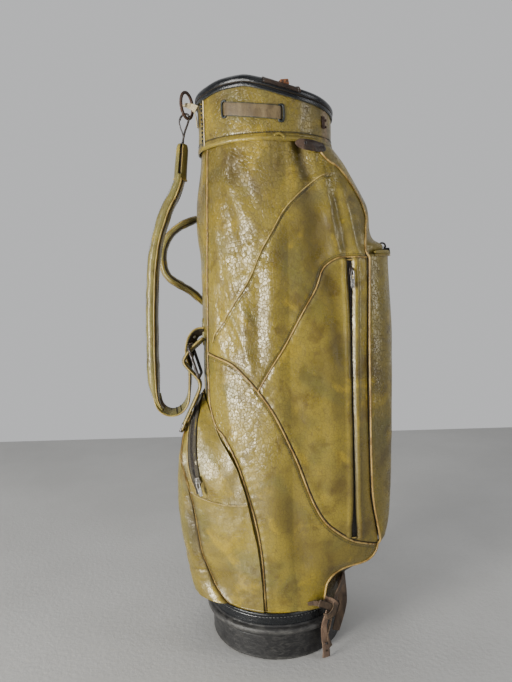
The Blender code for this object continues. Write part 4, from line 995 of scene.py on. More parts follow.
def make_ball_gusset():
    """The ball pocket's gusset, open along its zip."""
    half = 0.0046
    u = np.linspace(0, 1, 420)
    sway = zip_sway(gusset_turn(u))
    far = np.minimum(gusset_depth(u, ARC_PLANE - half + sway), 0.955)
    near = np.minimum(gusset_depth(u, ARC_PLANE + half + sway), far - 0.07)
    fine = np.linspace(0, 1, 26)[:, None]
    v = np.concatenate([near * fine, near + (far - near) * np.linspace(0, 1, 6)[1:, None],
                        far + (1 - far) * np.linspace(0, 1, 12)[1:, None]])
    uu = np.broadcast_to(u, v.shape)
    p = gusset(uu, v)
    slot_foot = ARC_HEIGHT + ARC_RADIUS * math.sin(ARC_END) - 0.004
    middle = (near + far) / 2
    zip_z = gusset(u, middle)[:, 2]
    open_column = zip_z > slot_foot
    slot = (np.arange(v.shape[0] - 1)[:, None] >= 25) & (np.arange(v.shape[0] - 1)[:, None] < 30)
    hole = slot & (open_column[1:] & open_column[:-1])[None]
    n = -normals_of(p)
    across_seam = v * 0.045
    rise = 0.0012 * noise(p, (0.03, 0.03, 0.04), 0) + 0.0006 * noise(p, (0.011, 0.011, 0.02), 1)
    rise += 0.0004 * noise(p, 0.006, 2) - 0.0007 * bell(across_seam, 0.003)
    rise -= 0.0012 * bell((1 - v) * 0.045, 0.003)
    sag = bell(p[..., 2] - 0.20, 0.035) * np.sin(np.pi * v) ** 2
    rise -= 0.0014 * sag * (p[..., 1] < 0)
    seam_d = np.abs(p[..., 2] - gusset_seam_height(p[..., 0]))
    cross = (p[..., 1] < 0) & (v < near + 0.30)
    rise -= 0.0009 * bell(seam_d, 0.0016) * cross
    to_slot = np.minimum(np.abs(v - near), np.abs(v - far)) * 0.05
    lips = bell(to_slot, 0.0022) * open_column
    rise -= 0.0010 * lips
    p = p + n * rise[..., None]
    # painted shade along the seams, beside the piping and at the zip's lips
    shade = 0.45 * bell(across_seam, 0.0014) + 0.9 * bell((1 - v) * 0.045, 0.0022)
    shade += 0.5 * bell(seam_d, 0.0012) * cross + 0.5 * lips
    foot = step(p[..., 2], 0.15, 0.10)
    wear = 0.12 * foot + 0.06 * step(v, 0.6, 0.95) * foot
    values = {"shade": np.clip(shade, 0, 1), "wear": wear, "smooth": 0.75 + 0 * v}
    skin = grid("ball_pocket_gusset_leather", p[:, ::-1], OLIVE, hole=hole[:, ::-1],
                values={k: a[:, ::-1] for k, a in values.items()})
    fit(skin, "bag", "olive_leatherette", "ball_pocket_gusset")


def make_ball_zip_edges():
    """The cloth behind the ball pocket's zip, and the sewn edges beside it."""
    reach = np.linspace(0, 1, 400)
    turn = gusset_turn(reach)
    keep = (turn > ARC_END - 0.06) & (turn < math.pi - ARC_END + 0.06)
    reach, turn = reach[keep], turn[keep]
    rows = []
    for s in np.linspace(-1, 1, 15):
        half = 0.0072 - 0.0030 * bell(np.minimum(turn, math.pi - turn) - ARC_END, 0.25)
        depth = np.minimum(gusset_depth(reach, ARC_PLANE + zip_sway(turn) + s * half), 0.985)
        p = gusset(reach, depth)
        out = np.stack([0 * turn, -np.cos(turn), np.sin(turn)], -1)
        rows.append(p + out * (0.0009 + 0.0008 * (1 - s * s)))
    tape = np.array(rows)
    cloth = grid("ball_zip_cloth", tape, BALL_TAPE, rim=0.0008, values={"shade": 0 * tape[..., 0]})
    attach(cloth, "bag")
    # the far lip pale, partly a painted highlight; the near lip a dark tube of painted shade
    for name, edge_row, stitch_row, radius, material in (("far", 0, 1, 0.0012, PALE_EDGE_AND_HIGHLIGHT),
                                                         ("near", -1, -2, 0.0009, PAINTED_SHADE)):
        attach(tube(f"ball_zip_lip_{name}", tape[edge_row] + out * 0.0003, radius, material, 8), "bag")
        side = tape[stitch_row] + out * 0.0004
        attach(stitches(f"ball_zip_stitches_{name}", side, out, THREAD, 0.0030), "bag")


def make_ball_face():
    """The ball pocket's bulging face."""
    share = np.linspace(1, 0.14, 200)
    edge_angle, height = ball_piping(share)
    half_angle = (edge_angle - math.pi) * 0.955 - 0.004
    across = np.linspace(-1, 1, 120)[:, None]
    radius = ball_edge(height) + ball_crown(height) * np.maximum(0, 1 - across**2) ** 0.62
    radius = np.maximum(radius - 0.0006, body_radius(height) + 0.0014)
    face = polar(radius, np.degrees(math.pi - half_angle * across), np.broadcast_to(height, radius.shape))
    face = np.swapaxes(face, 0, 1)[:, ::-1]
    n = normals_of(face)
    s = np.abs(np.linspace(-1, 1, 120))[None, :] + 0 * face[..., 0]
    rise = 0.0018 * noise(face, (0.03, 0.03, 0.06), 4) + 0.0007 * noise(face, (0.012, 0.012, 0.02), 5)
    rise += 0.0004 * noise(face, 0.006, 6)
    low_seam = np.abs(face[..., 2] - 0.110 + 0.28 * face[..., 1])
    rise -= 0.0010 * bell(low_seam, 0.002)
    hollow = np.exp(-(((face[..., 2] - 0.215) / 0.080) ** 4))
    rise -= 0.0040 * step(s, 0.66, 0.90) * step(1.0 - s, 0.0, 0.05) * hollow
    face = face + n * rise[..., None]
    # painted shade beside the piping, along the low seam and in the hollow
    shade = 0.9 * step(s, 0.93, 1.0) + 0.4 * bell(low_seam, 0.0013)
    shade = shade + 0.72 * step(s, 0.62, 0.88) * hollow
    wear = 0.12 * step(face[..., 2], 0.16, 0.10) + 0.15 * step(noise(face, 0.05, 2), 0.2, 0.7)
    skin = grid("ball_pocket_face_leather", face, OLIVE, values={"shade": np.clip(shade, 0, 1),
                                                                 "wear": wear,
                                                                 "smooth": 0.7 + 0 * s})
    fit(skin, "bag", "olive_leatherette", "ball_pocket_face")


def make_ball_seams():
    """Cords round the ball pocket, and the seam across its gusset."""
    share = np.linspace(1, -1, 330)
    angle, height = ball_piping(share)
    line = polar(ball_edge(height), np.degrees(angle), height)
    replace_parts(cord("ball_pocket_cord", line, radial(line), 0.0016, 0.0010), "ball_pocket_piping")
    angle, height = ball_seam(share)
    line = polar(body_radius(height) + 0.0028, np.degrees(angle), height)
    cord("ball_seam_cord", line[share < 0.05], radial(line)[share < 0.05], 0.0014, 0.0012)
    climb = np.linspace(0.02, 0.46, 300)
    crossing = []
    for depth in np.linspace(0.004, 0.985, 56):
        p = gusset(climb, np.full(climb.shape, depth))
        crossing.append([np.interp(0, p[:, 2] - gusset_seam_height(p[:, 0]), p[:, k]) for k in range(3)])
    seam = resample(crossing, 0.0015)
    out = radial(seam)
    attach(tube("ball_gusset_seam", seam + out * 0.0004, 0.0008, PALE_EDGE_AND_HIGHLIGHT, 8), "bag")
    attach(stitches("ball_gusset_stitches", seam + out * 0.0002 + UP * 0.0022, out, THREAD, 0.0034), "bag")


# ------------------------------------------------------------------ zips


TAPE_GAP = 0.0021
TOOTH_PITCH = 0.0017
TOOTH_SIZE = (0.0027, 0.0013, 0.00062)


def zip_run(prefix, line, outward, tape_width, tape):
    """Two tapes and two rows of interlocking teeth along a line. The teeth face outward."""
    ahead = direction(line)
    side = np.cross(outward, ahead)
    side /= np.linalg.norm(side, axis=1, keepdims=True)
    tapes = []
    for number, way in enumerate((-1, 1)):
        middle = line + side * way * (TAPE_GAP / 2 + tape_width / 2) - outward * 0.0006
        ripple = 0.00025 * noise(middle, 0.012, number)
        strip = sweep(f"{prefix}_tape_{number}", middle + outward * ripple[:, None], side,
                      lambda share: oval(tape_width, 0.0009, 5, 14), tape)
        tapes.append(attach(strip, "bag"))
        row = line + side * way * (TAPE_GAP / 2 + tape_width * 0.55)
        thread = stitches(f"{prefix}_tape_stitches_{number}", row, outward, THREAD, 0.0028, 0.0020, 0.00022)
        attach(thread, "bag")
    run = distance_along(line)
    places = []
    for number, at in enumerate(np.arange(TOOTH_PITCH, run[-1] - TOOTH_PITCH, TOOTH_PITCH / 2)):
        way = -1 if number % 2 else 1
        centre, a, s, o = (np.array([np.interp(at, run, v[:, k]) for k in range(3)])
                           for v in (line, ahead, side, outward))
        places.append(frame_at(centre + s * way * 0.00055 + o * 0.0002, s, a))
    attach(boxes(f"{prefix}_teeth", places, TOOTH_SIZE, DARK_STEEL, 0.00016), "bag")
    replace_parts(tapes[0], prefix)


def outline_plate(name, outline, hole, thickness, matrix, material, bevel=0.0003):
    """A flat plate with one opening: both outlines are (x, z) loops with the same number of points."""
    bm = bmesh.new()
    layers = []
    for y in (-thickness / 2, thickness / 2):
        layers.append([[bm.verts.new(matrix @ Vector((x, y, z))) for x, z in loop]
                       for loop in (outline, hole)])
    count = len(outline)
    for j in range(count):
        k = (j + 1) % count
        (fo, fh), (bo, bh) = layers
        bm.faces.new((fo[j], fo[k], fh[k], fh[j]))
        bm.faces.new((bo[k], bo[j], bh[j], bh[k]))
        bm.faces.new((fo[k], fo[j], bo[j], bo[k]))
        bm.faces.new((fh[j], fh[k], bh[k], bh[j]))
    bmesh.ops.recalc_face_normals(bm, faces=bm.faces)
    return bevelled(name, bm, material, bevel, 2)


def loop_shape(width, low, high, count=32, power=3.0):
    """A rounded outline from low to high, as (x, z)."""
    return [(x, (low + high) / 2 + z) for x, z in oval(width, high - low, power, count)]


def solid_block(name, matrix, size, material, bevel, taper=1.0):
    """A cast block whose top is narrower by taper."""
    bm = bmesh.new()
    bmesh.ops.create_cube(bm, size=1)
    for vert in bm.verts:
        if vert.co.z > 0:
            vert.co.x *= taper
        vert.co = matrix @ Vector((vert.co.x * size[0], vert.co.y * size[1], vert.co.z * size[2]))
    return bevelled(name, bm, material, bevel, 3)


SLIDER_DEPTH, SLIDER_LENGTH = 0.0030, 0.0110
SLIDER_ARCH = [(-0.0006, 0.0040), (-0.0022, 0.0034), (-0.0030, 0.0012), (-0.0030, -0.0012),
               (-0.0022, -0.0034), (-0.0006, -0.0040)]


def make_slider(prefix, matrix, pull_length, lean, material, pull_material, ring=False, width=0.0074):
    """A slider's two plates and bridge, and its pull: local X across the zip, -Y outwards, Z along it."""
    base = solid_block(f"{prefix}_slider_body", matrix @ Matrix.Translation((0, 0.0004, 0)),
                       (width, SLIDER_DEPTH, SLIDER_LENGTH), material, 0.0008, 0.72)
    fit(base, f"{prefix}_slider", None, f"{prefix}_slider")
    arch = [tuple(matrix @ Vector((0, y, z))) for y, z in SLIDER_ARCH]
    bridge = tube(f"{prefix}_slider_bridge", resample(arch, 0.0005), 0.0007, material, 10)
    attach(bridge, f"{prefix}_slider")
    hinge = matrix @ Matrix.Translation((0, -0.0050, 0)) @ Matrix.Rotation(lean, 4, "X")
    if ring:
        extra = outline_plate(f"{prefix}_pull_link", loop_shape(0.0058, -0.0056, 0.0012),
                              loop_shape(0.0030, -0.0040, 0.0004), 0.0011, hinge, pull_material)
        centre = Vector((-0.0046, -0.0010, -0.0046))
        turns = np.linspace(0, math.tau, 48, endpoint=False)
        circle = [Vector((0.0052 * math.cos(a), 0.0052 * math.sin(a), 0.0005 * math.sin(2 * a)))
                  for a in turns]
        pull = tube(f"{prefix}_pull_ring", [tuple(hinge @ (centre + v)) for v in circle], 0.0014,
                    pull_material, 12, closed=True)
    else:
        top, foot = 0.0012, 0.0012 - pull_length
        pull = outline_plate(f"{prefix}_pull_plate", loop_shape(0.0062, foot, top, 36, 4.0),
                             loop_shape(0.0032, foot + pull_length * 0.52, top - 0.0010, 36, 4.0),
                             0.0011, hinge, pull_material, 0.00022)
        extra = outline_plate(f"{prefix}_pull_tip",
                              loop_shape(0.0044, foot + 0.0022, foot + pull_length * 0.42, 28, 3.0),
                              loop_shape(0.0015, foot + 0.0040, foot + 0.0062, 28, 2.0),
                              0.0016, hinge, pull_material, 0.0002)
    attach(extra, f"{prefix}_pull")
    fit(pull, f"{prefix}_pull", None, f"{prefix}_pull")


ZIP_NORMAL = math.radians(-73.3)
ZIP_ACROSS = np.array([-math.sin(ZIP_NORMAL), math.cos(ZIP_NORMAL), 0.0])
ZIP_LINE = np.array([0.1193, -0.0967, 0.0])
APPAREL_SLIDER = 0.598    # its height
BALL_SLIDER = ARC_END + math.radians(15)    # its turn round the arc
BALL_SLIDER_SLANT = math.radians(-15)
ACCESSORY_TOP = 0.622


def make_apparel_zip():
    """The long straight zip."""
    z = np.linspace(ZIP_BOTTOM - 0.004, ZIP_TOP + 0.004, 220)
    outward = np.broadcast_to([math.cos(ZIP_NORMAL), math.sin(ZIP_NORMAL), 0.0], (len(z), 3))
    line = ZIP_LINE + z[:, None] * UP - outward * 0.0050
    line = line + ZIP_ACROSS * 0.0004 * noise(line, (0.03, 0.03, 0.05), 1)[:, None]
    zip_run("apparel_zip", line, outward, 0.0082, TAPE)
    place = frame_at(ZIP_LINE + APPAREL_SLIDER * UP, ZIP_ACROSS, (0, 0, 1))
    place = place @ Matrix.Translation((0, 0.0021, 0))
    make_slider("apparel", place, 0.026, 0.0, DARK_STEEL, NICKEL)
    for name, at, turn in (("top", ZIP_TOP, 1), ("bottom", ZIP_BOTTOM, -1)):
        p, _, _ = leather_at(np.linspace(ZIP_CENTRE - 1.6, ZIP_CENTRE + 1.6, 12), at + 0.0008 * turn,
                             -0.0012)
        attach(tube(f"zip_end_{name}", p, 0.0011, PALE_EDGE_AND_HIGHLIGHT, 8), "bag")


def make_ball_zip():
    """The arched zip."""
    reach = np.linspace(0, 1, 320)
    turns = gusset_turn(reach)
    keep = (turns > ARC_END - 0.03) & (turns < math.pi - ARC_END + 0.03)
    reach, turns = reach[keep], turns[keep]
    outward = np.stack([0 * turns, -np.cos(turns), np.sin(turns)], -1)
    line = gusset(reach, gusset_depth(reach, ARC_PLANE + zip_sway(turns))) + outward * 0.0021
    zip_run("ball_zip", line[::-1], outward[::-1], 0.0022, BALL_TAPE)
    turn = BALL_SLIDER
    up = (0, math.sin(turn), math.cos(turn))
    place = (ARC_PLANE, -ARC_RADIUS * math.cos(turn), ARC_HEIGHT + ARC_RADIUS * math.sin(turn))
    slant = Matrix.Rotation(BALL_SLIDER_SLANT, 4, "Y")
    make_slider("ball", frame_at(place, (1, 0, 0), up) @ slant, 0.024, turn, NICKEL, NICKEL, width=0.0092)


def make_accessory_zip():
    """The flat pocket's zip, along its top, and the welt in front of it."""
    top = ACCESSORY_TOP

    def pocket_top(half_angle, count, inset, lift):
        angles = np.linspace(-half_angle, half_angle, count)
        return polar(accessory_radius(angles, top) - inset, angles, top + lift)

    line = pocket_top(21, 60, 0.0066, 0.0036)
    zip_run("accessory_zip", line, np.broadcast_to(UP, line.shape), 0.0026, TAPE)
    place = frame_at((0.1811, -0.030, top + 0.0064), (1, 0, 0), (0, 1, 0))
    make_slider("accessory", place, 0.020, 0.0, DARK_STEEL, DARK_STEEL, ring=True, width=0.0060)
    tab = frame_at((0.1822, -0.046, 0.6288), (1, 0, 0), (0, 0, 1))
    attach(solid_block("accessory_zip_tab", tab, (0.0085, 0.0030, 0.0060), VINYL, 0.0008, 0.8), "bag")
    line = pocket_top(26, 100, 0.0028, 0.0030)
    line[:, 2] += 0.0012 * noise(line, 0.03, 2)
    welt = sweep("accessory_welt", line, UP,
                 lambda s: oval(0.0070 * (1 - 0.5 * abs(2 * s - 1) ** 12), 0.0038, 2.6, 18), OLIVE_WORN)
    fit(welt, "bag", "olive_leatherette", "accessory_top_welt")
    out = radial(line)
    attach(stitches("accessory_stitches", line + out * 0.0019 - UP * 0.0012, out, THREAD), "bag")
    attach(tube("accessory_hem_cord", line + out * 0.0012 - UP * 0.0044, 0.0010, PALE_EDGE_AND_HIGHLIGHT, 8), "bag")


# ------------------------------------------------------------------ cuff, rim and mouth

STRIP_START, STRIP_END = -124.5, -78.0
DIVIDER_DEGREES = -77.5
LUG_DEGREES = -74.5
LUG_SIZE = (0.0135, 0.0085, 0.0078)
PLATE_DEGREES, PLATE_HEIGHT = -35, 0.8165
PLATE_SIZE = (0.0085, 0.0013, 0.0170)
RIM_RADIUS, ROLL_WIDTH, ROLL_HEIGHT = 0.1000, 0.0070, 0.0068    # the roll's centre and half sizes
DIVIDER_RADIUS = 0.0086
STRIP_WIDTH, STRIP_THICKNESS = 0.0182, 0.0017
CUFF_FOOT = 0.7872
CUFF_RADIUS = 0.1031
CUFF_SEAM = 0.7955
BACK_SEAM_DEGREES = -152


def strip_height(degrees):
    return 0.8325 - 0.0115 * (degrees - STRIP_START) / (STRIP_END - STRIP_START)


def make_cuff():
    """The cuff, with a seam along its foot, a lap, a side seam and two slots."""
    d, v = np.meshgrid(np.linspace(-180, 180, 720, endpoint=False), np.linspace(0, 1, 64))
    top = rim_height(d) - 0.0125
    z = CUFF_FOOT + (top - CUFF_FOOT) * v
    p = polar(CUFF_RADIUS, d, z)
    n = normals_of(np.concatenate([p, p[:, :1]], 1))[:, :-1]
    rise = 0.0005 * noise(p, (0.03, 0.03, 0.02), 3) + 0.0003 * noise(p, 0.008, 4)
    line_d = np.abs(z - CUFF_SEAM)
    rise -= 0.0007 * bell(line_d, 0.0013)
    rise += 0.0006 * step(z, 0.7945, 0.7925)
    lap = (d - (-33.0)) * 0.0018
    rise += 0.0009 * step(lap, -0.0004, 0.0004) * step(lap, 0.030, 0.020)
    side_seam = np.abs(d - BACK_SEAM_DEGREES) * 0.0018
    rise -= 0.0008 * bell(side_seam, 0.0018)
    # painted shade in the seams, along the lap and under the roll, and over the whole cuff, most on its
    # left
    shade = 0.75 * bell(line_d, 0.0010) + 0.8 * bell(side_seam, 0.0014)
    shade += 0.6 * bell(lap, 0.0010) + 0.45 * step(z, top - 0.006, top - 0.002)
    shade = shade + 0.16 + 0.14 * bell(d + 125, 30)
    wear = 0.62 * bell(d + 31, 8.5) + 0.20 * step(np.abs(d - BACK_SEAM_DEGREES), 9, 2)
    hole = np.zeros((z.shape[0] - 1, z.shape[1]), bool)
    for degrees in (STRIP_START, STRIP_END):
        across = (d + 0.25 - degrees) * math.radians(CUFF_RADIUS)
        above = (z[:-1] + z[1:]) / 2 - strip_height(degrees)
        hole |= (np.abs(across[:-1]) < 0.0020) & (np.abs(above) < 0.0102)
    p = p + n * rise[..., None]
    cuff = grid("cuff_leather", p, OLIVE, closed=True, hole=hole,
                values={"shade": np.clip(shade, 0, 1), "wear": np.clip(wear, 0, 1), "smooth": 0.35 + 0 * z})
    fit(cuff, "bag", "olive_leatherette", "cuff")


def make_cuff_hem():
    """The cuff's stitches, and the welt at its foot."""
    degrees = np.linspace(-180, 180, 481)
    level = CUFF_SEAM + 0.0006 * noise(polar(0.103, degrees, 0.8), 0.03, 2)
    line = polar(0.1036, degrees, level)
    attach(stitches("cuff_stitches", line, radial(line), THREAD, 0.0040, 0.0030, 0.00036), "bag")
    dip = 0.0010 * step(np.abs(degrees + 79), 3, 0)
    hem = polar(0.1034, degrees, 0.7876 + 0.0006 * noise(line, 0.05, 3) - dip)
    section = [(-0.0042, -0.0010), (-0.0036, 0.0008), (-0.0012, 0.0019), (0.0018, 0.0018), (0.0038, 0.0004),
               (0.0036, -0.0012), (0.0, -0.0016)]
    welt = sweep("cuff_hem", hem, UP, lambda s: np.array(section) * [1, -1], OLIVE_WORN, caps=False)
    fit(welt, "bag", "olive_leatherette", "cuff_welt")
    lap = ((-84, 0.7905), (-80, 0.7930), (-76.5, 0.7900), (-76, 0.7850))
    notch = resample([tuple(polar(0.1052, a, z)) for a, z in lap], 0.001)
    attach(sweep("hem_overlap", notch, UP, lambda s: oval(0.0035, 0.0012), OLIVE_WORN), "bag")


def make_cuff_lacing():
    """The cuff's side seam: the backing's pale edge, and a coarse lacing."""
    seam = polar(0.1040, np.full(60, -151.0), np.linspace(0.786, 0.8590, 60))
    seam = seam + radial(seam) * 0.0004 * noise(seam, 0.010, 3)[:, None]
    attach(sweep("cuff_backing_edge", seam, np.cross(UP, radial(seam)), lambda s: oval(0.0034, 0.0016),
                  CREAM), "bag")
    lacing = polar(0.1042, np.full(40, -154.5), np.linspace(0.788, 0.857, 40))
    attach(stitches("cuff_lacing", lacing, radial(lacing), VINYL, 0.0062, 0.0046, 0.0011), "bag")


def make_cuff_strip():
    """The leather strip through the cuff's slots, and the rubber round them."""
    for name, degrees in (("left", STRIP_START), ("right", STRIP_END)):
        t = np.linspace(0, math.tau, 64, endpoint=False)
        across = np.sign(np.cos(t)) * np.abs(np.cos(t)) ** 0.6 * 0.0040
        up = np.sign(np.sin(t)) * np.abs(np.sin(t)) ** 0.6 * 0.0113
        ring = polar(0.1038, degrees + np.degrees(across / 0.1038), strip_height(degrees) + up)
        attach(tube(f"slot_grommet_{name}", ring, 0.00155, GROMMET, 12, closed=True), "bag")
    plan = [(0.1006, STRIP_START + 0.2), (0.1040, STRIP_START + 0.25), (0.1052, STRIP_START + 1.6)]
    length = STRIP_END - STRIP_START
    plan += [(0.1057 + 0.0004 * math.sin(3 * k), STRIP_START + length * k / 9) for k in range(1, 9)]
    plan += [(0.1052, STRIP_END - 1.6), (0.1040, STRIP_END - 0.25), (0.1006, STRIP_END - 0.2)]
    sag = [0.0012 * math.sin(math.pi * (a - STRIP_START) / length) for _, a in plan]
    line = resample([tuple(polar(r, a, strip_height(a) - low)) for (r, a), low in zip(plan, sag)], 0.0012)

    def strip_section(share):
        width = STRIP_WIDTH * (1 + 0.02 * math.sin(17 * share)) * (1 - 0.10 * abs(2 * share - 1) ** 6)
        return oval(width, STRIP_THICKNESS, 6, 26)

    strip = sweep("cuff_strip_leather", line, UP, strip_section, STRIP)
    fit(strip, "bag", "brown_leather", "cuff_strip")
    for name, way in (("upper", 1), ("lower", -1)):
        edge = line[8:-8] + UP * way * 0.0090
        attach(tube(f"strip_edge_{name}", edge, 0.00085, THREAD, 8), "bag")


def along_rim(section, count=480, start=-180, end=180, wobble=0.0):
    """A (radius, height from the rim's top) section carried round the wavy rim."""
    degrees = np.linspace(start, end, count, endpoint=(end - start) < 360)
    section = np.asarray(section, float)
    lump = 1 + wobble * noise(polar(1.0, degrees, 0.0) * 0.1, (0.02, 0.02, 0.02), 4)
    z = rim_height(degrees)[None] + section[:, 1:] * lump[None]
    return degrees, polar(section[:, :1], degrees[None], z)


def make_rim():
    """The rolled rim over a wavy band."""
    t = np.linspace(math.radians(-130), math.radians(228), 40)
    roll = [(RIM_RADIUS + ROLL_WIDTH * math.cos(a), -ROLL_HEIGHT + ROLL_HEIGHT * math.sin(a)) for a in t]
    degrees, p = along_rim(roll, wobble=0.03)
    worn = bell(np.array([z for _, z in roll]) + 0.0005, 0.0035)[:, None]
    where = 0.45 + 0.55 * step(noise(polar(0.1, degrees, 0.0), 0.025, 3), -0.3, 0.4)
    where = 0.45 * where * (0.35 + 0.65 * step(degrees, -60, -100))
    top_roll = grid("rim_roll_vinyl", p, VINYL, closed=True, rim=0, values={"wear": worn * where[None]})
    fit(top_roll, "bag", "black_vinyl", "rim_roll")
    band = [(0.1030, -0.0108), (0.1052, -0.0114), (0.1061, -0.0126), (0.1060, -0.0145), (0.1056, -0.0163),
            (0.1048, -0.0172), (0.1036, -0.0170)]
    band = resample(band, 0.0007)
    degrees, p = along_rim(band)
    edge = bell(band[:, 1:] + 0.0168, 0.0010) * np.ones_like(degrees)[None]
    lower = grid("rim_band_vinyl", p, VINYL, closed=True, rim=0, values={"wear": 0.35 * edge})
    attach(lower, "bag")
    line = polar(0.1050, degrees, rim_height(degrees) - 0.0170)
    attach(stitches("rim_stitches", line, radial(line), THREAD, 0.0042, 0.0028, 0.0004), "bag")
    # a dark tube in the crease between the roll and the band: painted shade
    line = polar(0.1052, degrees, rim_height(degrees) - 0.0106)
    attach(tube("rim_painted_shade", np.vstack([line, line[:1]]), 0.0009, PAINTED_SHADE, 8), "bag")


def make_rim_flaps():
    """The divider's leather ends, folded over the rim and sewn down."""
    shape = resample([(0.1091, -0.0085), (0.1083, -0.0042), (0.1058, -0.0010), (0.1000, 0.0012),
                      (0.0942, -0.0010), (0.0914, -0.0060), (0.0911, -0.0150), (0.0911, -0.0290)], 0.0008)
    for name, middle in (("front", DIVIDER_DEGREES), ("rear", DIVIDER_DEGREES + 180)):
        d, p = along_rim(shape, 90, middle - 14.5, middle + 14.5)
        ragged = 0.0008 * noise(p, 0.006, 5)
        p = p + radial(p.reshape(-1, 3)).reshape(p.shape) * ragged[..., None] * 0.5
        share = np.linspace(0, 1, p.shape[0])[:, None] + 0 * p[..., 0]
        wear = step(np.abs(d - middle), 10, 14.5)[None] * 0.3 + 0.3 * bell(share - 0.25, 0.12)
        flap = grid(f"rim_flap_{name}", p[::-1], FLAP, values={"wear": wear[::-1]}, rim=0.0013)
        fit(flap, "bag", "brown_leather", f"divider_flap_{name}")
        for number, way in enumerate((-1, 1)):
            beside_edge = middle + way * 13.2
            top = rim_height(beside_edge)
            edge = polar(shape[:, 0] + 0.0004, beside_edge, top + shape[:, 1] + 0.0003)
            up = edge - polar(0.1, beside_edge, top - 0.008)
            up /= np.linalg.norm(up, axis=1, keepdims=True)
            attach(stitches(f"flap_stitches_{name}_{number}", edge, up, PALE_THREAD, 0.0034), "bag")


def make_rim_lug():
    """A small riveted block on the rim's front."""
    place = polar(RIM_RADIUS, LUG_DEGREES, rim_height(LUG_DEGREES) + 0.0022)
    lug = frame_at(tuple(place), tuple(polar(1, LUG_DEGREES + 90, 0)), (0, 0, 1))
    lug = lug @ Matrix.Rotation(math.radians(-7), 4, "Y")
    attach(solid_block("rim_lug", lug, LUG_SIZE, COPPER, 0.0013, 0.90), "bag")
    for number, x in enumerate((-0.0034, 0.0034)):
        head = ring_points(lug, 0.0012, 16, x, -0.0042, 0.0006)
        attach(tube(f"rim_lug_rivet_{number}", head, 0.0006, RUST, 8, closed=True), "bag")


def make_plate():
    """Rivets and a rusted plate on the cuff's rubbed right side."""
    place = tuple(polar(0.1043, PLATE_DEGREES, PLATE_HEIGHT))
    matrix = frame_at(place, tuple(polar(1, PLATE_DEGREES + 90, 0)), (0, 0, 1))
    plate = solid_block("cuff_plate_metal", matrix, PLATE_SIZE, RUST, 0.0005)
    fit(plate, "bag", "rusted_steel", "cuff_plate")
    places = [(0.0, 0.0050), (0.0, -0.0050), (0.0062, 0.0035), (0.0062, -0.0060)]
    for number, (x, z) in enumerate(places):
        head = ring_points(matrix, 0.0010, 16, x, -0.0008, z)
        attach(tube(f"plate_rivet_{number}", head, 0.0010, RUST, 8, closed=True), "bag")


def make_mouth():
    """Tube, stiffener and hoop keep their shapes; the padded dividers are sewn vinyl over foam."""
    kept = {"club_tube": BOARD, "cuff_stiffener": BOARD, "rim_hoop": NICKEL, "base_pad": FELT,
            "steel_stay_1": NICKEL, "steel_stay_2": NICKEL, "steel_stay_3": NICKEL}
    for name, material in kept.items():
        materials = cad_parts[name].data.materials
        materials.clear()
        materials.append(material)
    reach, crossing, z = 0.0940, 0.0098, 0.816
    cross = DIVIDER_DEGREES + 90
    runs = {"long": (DIVIDER_DEGREES, -reach, reach), "left": (cross, -reach, -crossing),
            "right": (cross, crossing, reach)}
    for name, (degrees, start, end) in runs.items():
        at = np.linspace(start, end, 120)
        line = polar(at, degrees, z)
        waist = 0.06 * bell(at, 0.012) * (name == "long")
        flare = 1 + 0.10 * np.exp(-np.abs(np.abs(at) - reach) / 0.006) - waist
        radius = DIVIDER_RADIUS * flare * (1 + 0.03 * noise(line, 0.02, 3))
        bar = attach(tube(f"divider_{name}", line, radius, VINYL, 28), "bag")
        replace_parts(bar, f"divider_bar_{name}")
        under = line - UP * 0.0088
        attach(stitches(f"divider_stitches_{name}", under[4:-4], -UP + 0 * under[4:-4], PALE_THREAD),
                "bag")


# ------------------------------------------------------------------ base


def turned(name, profile, material, wear, dents, segments=256):
    """A (radius, height) profile, bottom to top on its outside, turned round the bag's axis."""
    profile = np.asarray(profile, float)
    degrees = np.linspace(-180, 180, segments, endpoint=False)
    p = polar(profile[:, 0][:, None], degrees[None], profile[:, 1][:, None])
    lumps = dents * noise(p, (0.03, 0.03, 0.02), 2) + dents * 0.5 * noise(p, 0.009, 3)
    p = p + radial(p.reshape(-1, 3)).reshape(p.shape) * lumps[..., None]
    return grid(name, p, material, closed=True, rim=0, values={"wear": wear(p)})


def make_base():
    """The rubber cup, with a bead round it."""
    outside = [(0.0002, 0.0), (0.0500, 0.0), (0.1010, 0.0), (0.1035, 0.0004), (0.1062, 0.0016),
               (0.1077, 0.0040), (0.1079, 0.0100), (0.1082, 0.0250), (0.1085, 0.0385), (0.1086, 0.0400),
               (0.1080, 0.0407), (0.1086, 0.0414), (0.1090, 0.0432), (0.1084, 0.0440), (0.1096, 0.0452),
               (0.1130, 0.0464), (0.1160, 0.0476), (0.1174, 0.0495), (0.1177, 0.0515), (0.1175, 0.0540),
               (0.1163, 0.0560), (0.1140, 0.0574), (0.1118, 0.0584), (0.1108, 0.0600), (0.1100, 0.0606),
               (0.1040, 0.0605), (0.1040, 0.0200), (0.1036, 0.0070), (0.1000, 0.0060), (0.0002, 0.0060)]

    def cup_wear(p):
        ring = 0.45 * bell(p[..., 2] - 0.0530, 0.004) + 0.35 * step(p[..., 2], 0.010, 0.002)
        return ring * (0.4 + 0.6 * step(noise(p, 0.03, 1), -0.4, 0.5)) + 0.10

    cup = turned("base_cup_rubber", resample(outside, 0.0011), RUBBER, cup_wear, 0.00028)
    fit(cup, "bag", "black_rubber", "base_cup")


